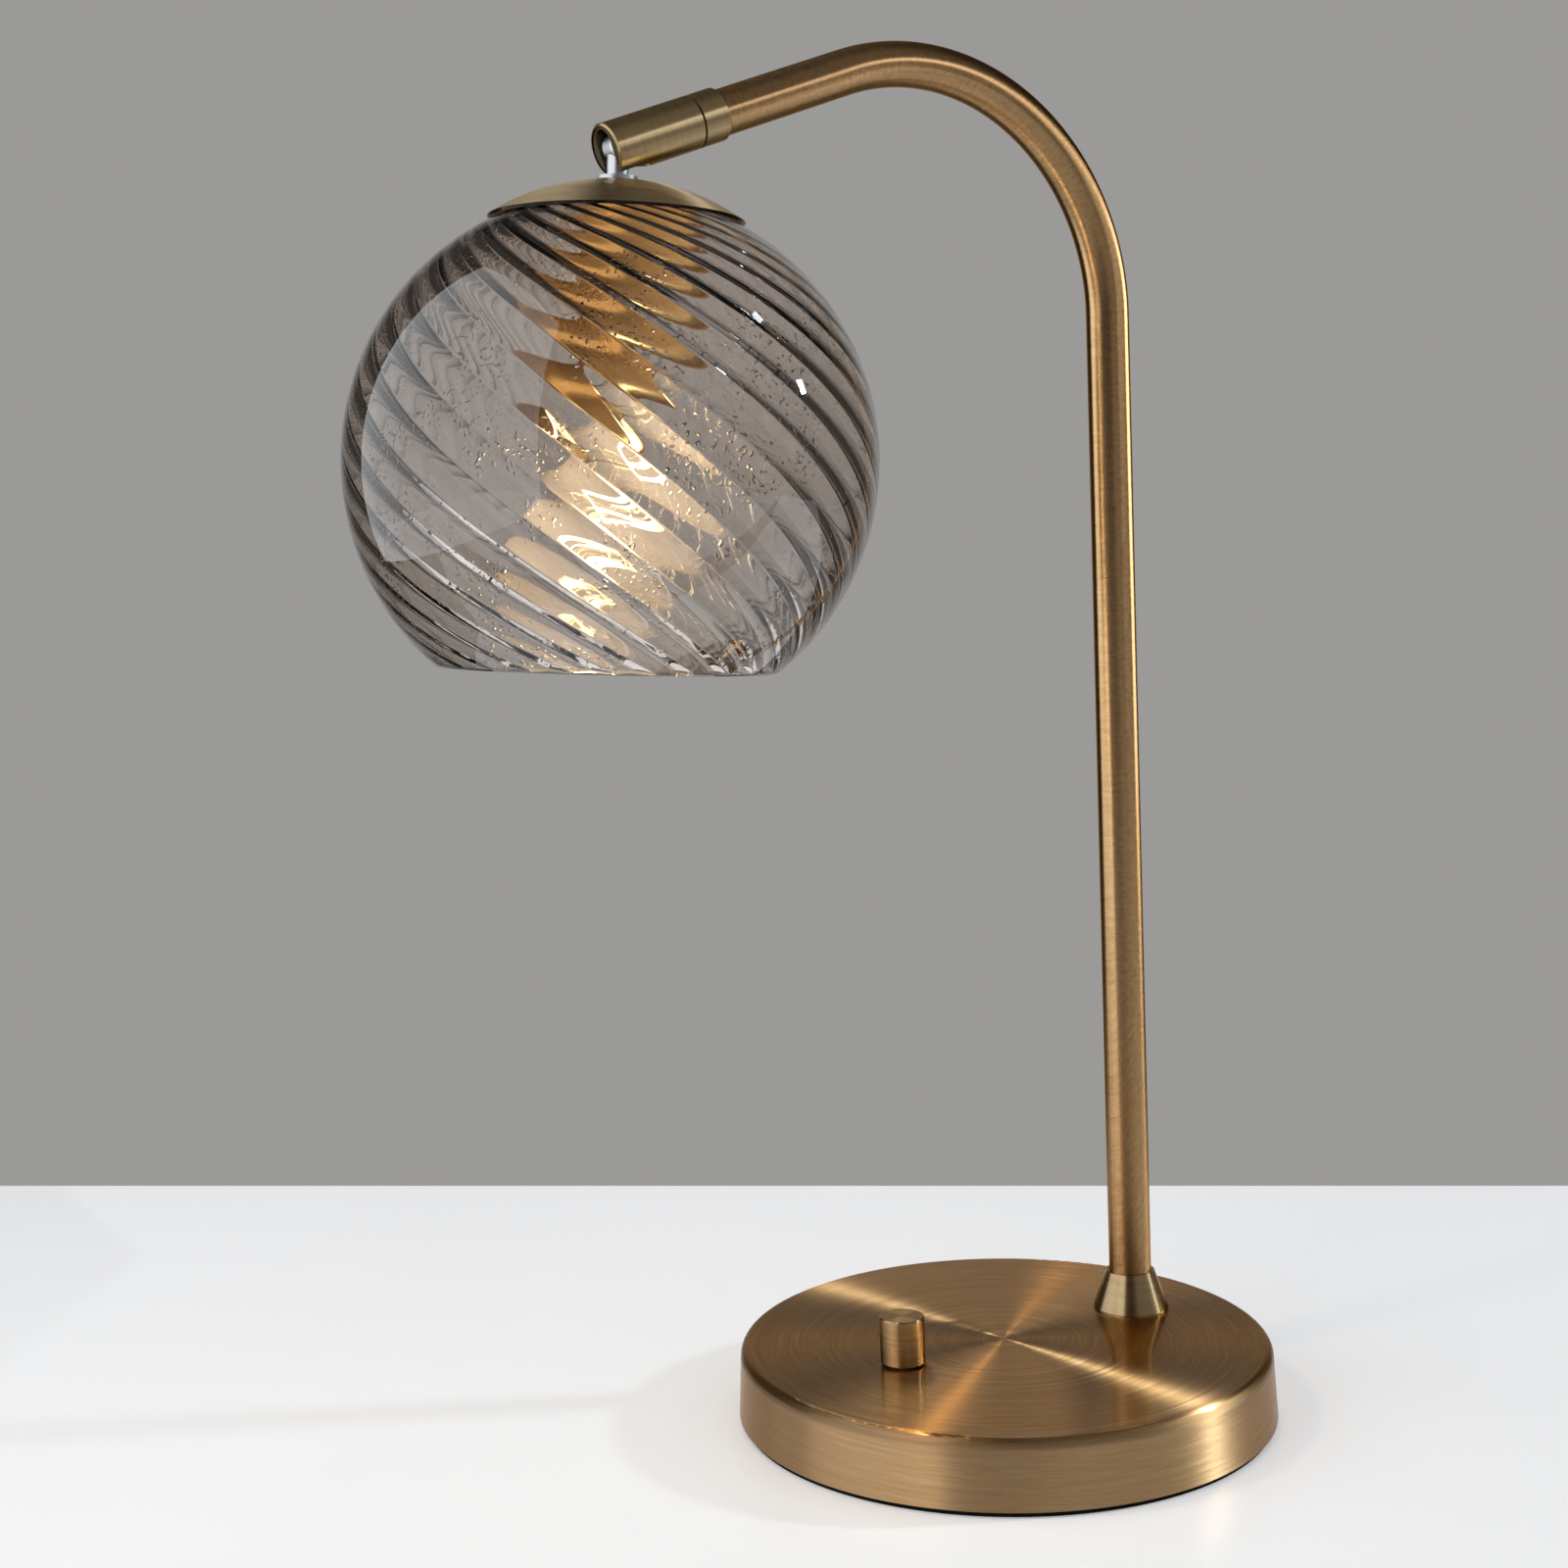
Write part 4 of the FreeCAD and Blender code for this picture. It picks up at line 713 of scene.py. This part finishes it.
# World: grey behind the lamp, a dim room round it, and a paler wall on the camera's right
ROOM_DIM = (0.045, 0.041, 0.038)
ROOM_WALL = (0.29, 0.285, 0.275)
BEHIND_GREY = (0.345, 0.340, 0.330)
BEHIND_SPAN = (-0.94, -0.80)
BEHIND_TOP = (0.50, 0.66)
WALL_SPAN = (0.0, 0.35)
WALL_START = (-0.10, 0.20)
world = bpy.data.worlds.new("studio")
bpy.context.scene.world = world
world.use_nodes = True
tree = world.node_tree
tree.nodes.clear()
way = add(tree, "ShaderNodeTexCoord").outputs["Generated"]
to_back = vector_node(tree, "DOT_PRODUCT", way, BACK)
to_side = vector_node(tree, "DOT_PRODUCT", way, SIDE)
behind = math_node(tree, "MULTIPLY", mapped(tree, to_back, BEHIND_SPAN, (1.0, 0.0)),
                   mapped(tree, separate(tree, way)[2], BEHIND_TOP, (1.0, 0.0)))
beside = math_node(tree, "MULTIPLY", mapped(tree, to_side, WALL_SPAN, (0.0, 1.0)),
                   mapped(tree, to_back, WALL_START, (0.0, 1.0)))
room = colour_mix(tree, beside, ROOM_DIM, ROOM_WALL)
background = add(tree, "ShaderNodeBackground")
link(tree, colour_mix(tree, behind, room, BEHIND_GREY), background.inputs["Color"])
output = add(tree, "ShaderNodeOutputWorld")
link(tree, background.outputs[0], output.inputs["Surface"])


# Lights
def light_only(light, receivers):
    """Light linking: the light reaches its receivers and nothing else."""
    reached = bpy.data.collections.new("flag_" + light.name)
    for name in receivers:
        reached.objects.link(NODES.get(name) or bpy.data.objects[name])
    light.light_linking.receiver_collection = reached


def panel(name, place, aim, size, radiance, colour=(1.0, 1.0, 1.0), glossy=True, transmission=False,
          diffuse=True, receivers=()):
    """Rectangular soft light of a given size and radiance, for its receivers or else for everything."""
    data = bpy.data.lights.new(name, "AREA")
    data.shape = "RECTANGLE"
    data.size, data.size_y = size
    data.energy = radiance * math.pi * size[0] * size[1]
    data.color = colour
    light = bpy.data.objects.new(name, data)
    light.location = place
    light.rotation_mode = "QUATERNION"
    light.rotation_quaternion = (aim - place).to_track_quat("-Z", "Y")
    bpy.context.scene.collection.objects.link(light)
    if receivers:
        light_only(light, receivers)
    light.visible_camera = False
    light.visible_glossy = glossy
    light.visible_transmission = transmission
    light.visible_diffuse = diffuse


SOFT_DAY = (0.90, 0.955, 1.0)
KEY_BLUE = (0.70, 0.86, 1.0)
PALE_BLUE = (0.80, 0.90, 1.0)
TUBE_DAY = (0.92, 0.96, 1.0)
METAL_DAY = (0.96, 0.97, 1.0)
CUP_WARM = (1.0, 0.92, 0.80)
KEY_WAY = Vector((0.895, -0.446, 0.0))
RAY_WAY = Vector((0.966, -0.259, 0.0))
SOFT_DISTANCE = 0.90
SOFT_HEIGHT = 0.98
SOFT_TALL = 1.95
BASE_TOP = UP * 0.03
lit_pieces = list(bpy.context.scene.objects)
NOT_TUBE = [piece.name for piece in lit_pieces if piece != tube]
NOT_TUBE_NOR_BASE = [piece.name for piece in lit_pieces if piece not in (tube, NODES["base_cover"])]

# Upright soft panels on the left that face the lamp's axis: for most pieces, for the stem, and for the base
for name, turn, width, radiance, receivers in (("soft_left", -71, 1.68, 1.6, NOT_TUBE_NOR_BASE),
                                               ("soft_tube", -78, 1.22, 2.7, ("tube_brass",)),
                                               ("soft_base", -59, 1.06, 1.6, ("base_cover",))):
    panel(name, around(turn, SOFT_DISTANCE, SOFT_HEIGHT), UP * SOFT_HEIGHT, (width, SOFT_TALL), radiance,
          SOFT_DAY, receivers=receivers)

# Keys and reflections. A light without diffuse shows in reflections alone, on the pieces that it names.
panel("cup_light", around(-40, 1.0, 0.62), GLOBE_CENTRE, (0.22, 0.60), 9.0, CUP_WARM, diffuse=False,
      receivers=("socket_cup",))
panel("key_right", KEY_WAY * 2.0 + UP * 1.13, UP * 0.12, (0.11, 0.16), 300.0, KEY_BLUE, receivers=NOT_TUBE)
panel("tube_key", around(112, 1.5, 0.45), UP * 0.45, (0.70, 0.80), 6.5, TUBE_DAY, diffuse=False,
      receivers=("tube_brass",))
panel("kicker", around(94, 1.10, 1.50), GLOBE_CENTRE, (0.10, 0.10), 14.0, PALE_BLUE, transmission=True,
      receivers=("globe_glass", "bulb_glass", "socket_cup", "shade_cap"))
panel("arm_light", around(94, 1.10, 1.12), PIN, (0.34, 0.17), 12.0, METAL_DAY, diffuse=False,
      receivers=("shade_cap",))
panel("barrel_light", around(57, 1.10, 0.90), PIN, (0.30, 0.17), 5.5, METAL_DAY, diffuse=False,
      receivers=("swivel_barrel", "end_collar"))
panel("bend_light", around(72, 1.20, 0.80), PIN, (1.00, 0.26), 3.0, METAL_DAY, diffuse=False,
      receivers=("tube_brass",))

# Even light from above, and a fill for the table's right
panel("overhead", Vector((0.2, -0.3, 2.2)), Vector((0.2, -0.1, 0.0)), (2.4, 2.4), 0.90, glossy=False)
panel("fill_right", around(90, 1.4, 1.3), around(90, 0.3, 0.0), (0.80, 0.80), 1.3, glossy=False,
      receivers=("table",))

# The base's top: a broad sheen from behind, and its white ray
panel("back_top", around(180, 1.5, 1.75), BASE_TOP, (1.3, 0.9), 1.5, diffuse=False,
      receivers=("base_cover", "dimmer_knob"))
panel("ray_light", RAY_WAY * 1.5 + UP * 1.28, BASE_TOP, (0.05, 0.08), 2500.0, PALE_BLUE, diffuse=False,
      receivers=("base_cover",))

# Dark cards, seen in reflections only: the camera's side of the room, and the floor before the table
CARD_BLACK = emitting("card_black", (0.05, 0.045, 0.04))
CARD_DISTANCE = 1.6
CARD_NEAR = 0.45
CARD_LIFT = 0.002


def dark_card(name, points):
    card = stage_piece(name, points, CARD_BLACK)
    card.visible_camera = False
    card.visible_transmission = False
    card.visible_diffuse = False
    card.visible_shadow = False


def floor_card(name, far_left, near_left, near_right, far_right):
    """Dark card on the floor, from a turn at its far left round to a turn at its far right."""
    turns = ((far_left, CARD_DISTANCE), (near_left, CARD_NEAR), (near_right, CARD_NEAR),
             (far_right, CARD_DISTANCE))
    dark_card(name, [around(turn, distance, CARD_LIFT) for turn, distance in turns])


dark_card("dark_card", [around(turn, CARD_DISTANCE, height)
                        for turn, height in ((-26, -0.2), (4, -0.2), (4, 1.6), (-26, 1.6))])
floor_card("dark_floor_left", -140, -120, -76, -76)
floor_card("dark_floor", -75, -48, 48, 75)


# Warm light of the bulb: its spill on the table, and its shine on the brass
def bulb_lamp(name, energy, colour, size, receivers=()):
    """Point light in the bulb: a shine on its receivers, or diffuse light on everything where it has none."""
    data = bpy.data.lights.new(name, "POINT")
    data.energy = energy
    data.color = colour
    data.shadow_soft_size = size
    light = bpy.data.objects.new(name, data)
    light.location = LIT_POINT
    bpy.context.scene.collection.objects.link(light)
    if receivers:
        light_only(light, receivers)
    light.visible_diffuse = not receivers
    light.visible_glossy = bool(receivers)
    light.visible_transmission = False
    light.visible_camera = False


bulb_lamp("bulb_spill", 0.65, (1.0, 0.78, 0.42), 0.008)
bulb_lamp("bulb_ray", 1.45, (1.0, 0.69, 0.30), 0.006, ("base_cover",))
bulb_lamp("bulb_shine", 0.30, (1.0, 0.80, 0.52), 0.012,
          ("tube_brass", "stem_collar", "dimmer_knob", "socket_cup", "shade_cap"))

bpy.context.scene.view_settings.view_transform = "Standard"
bpy.context.scene.view_settings.look = "None"
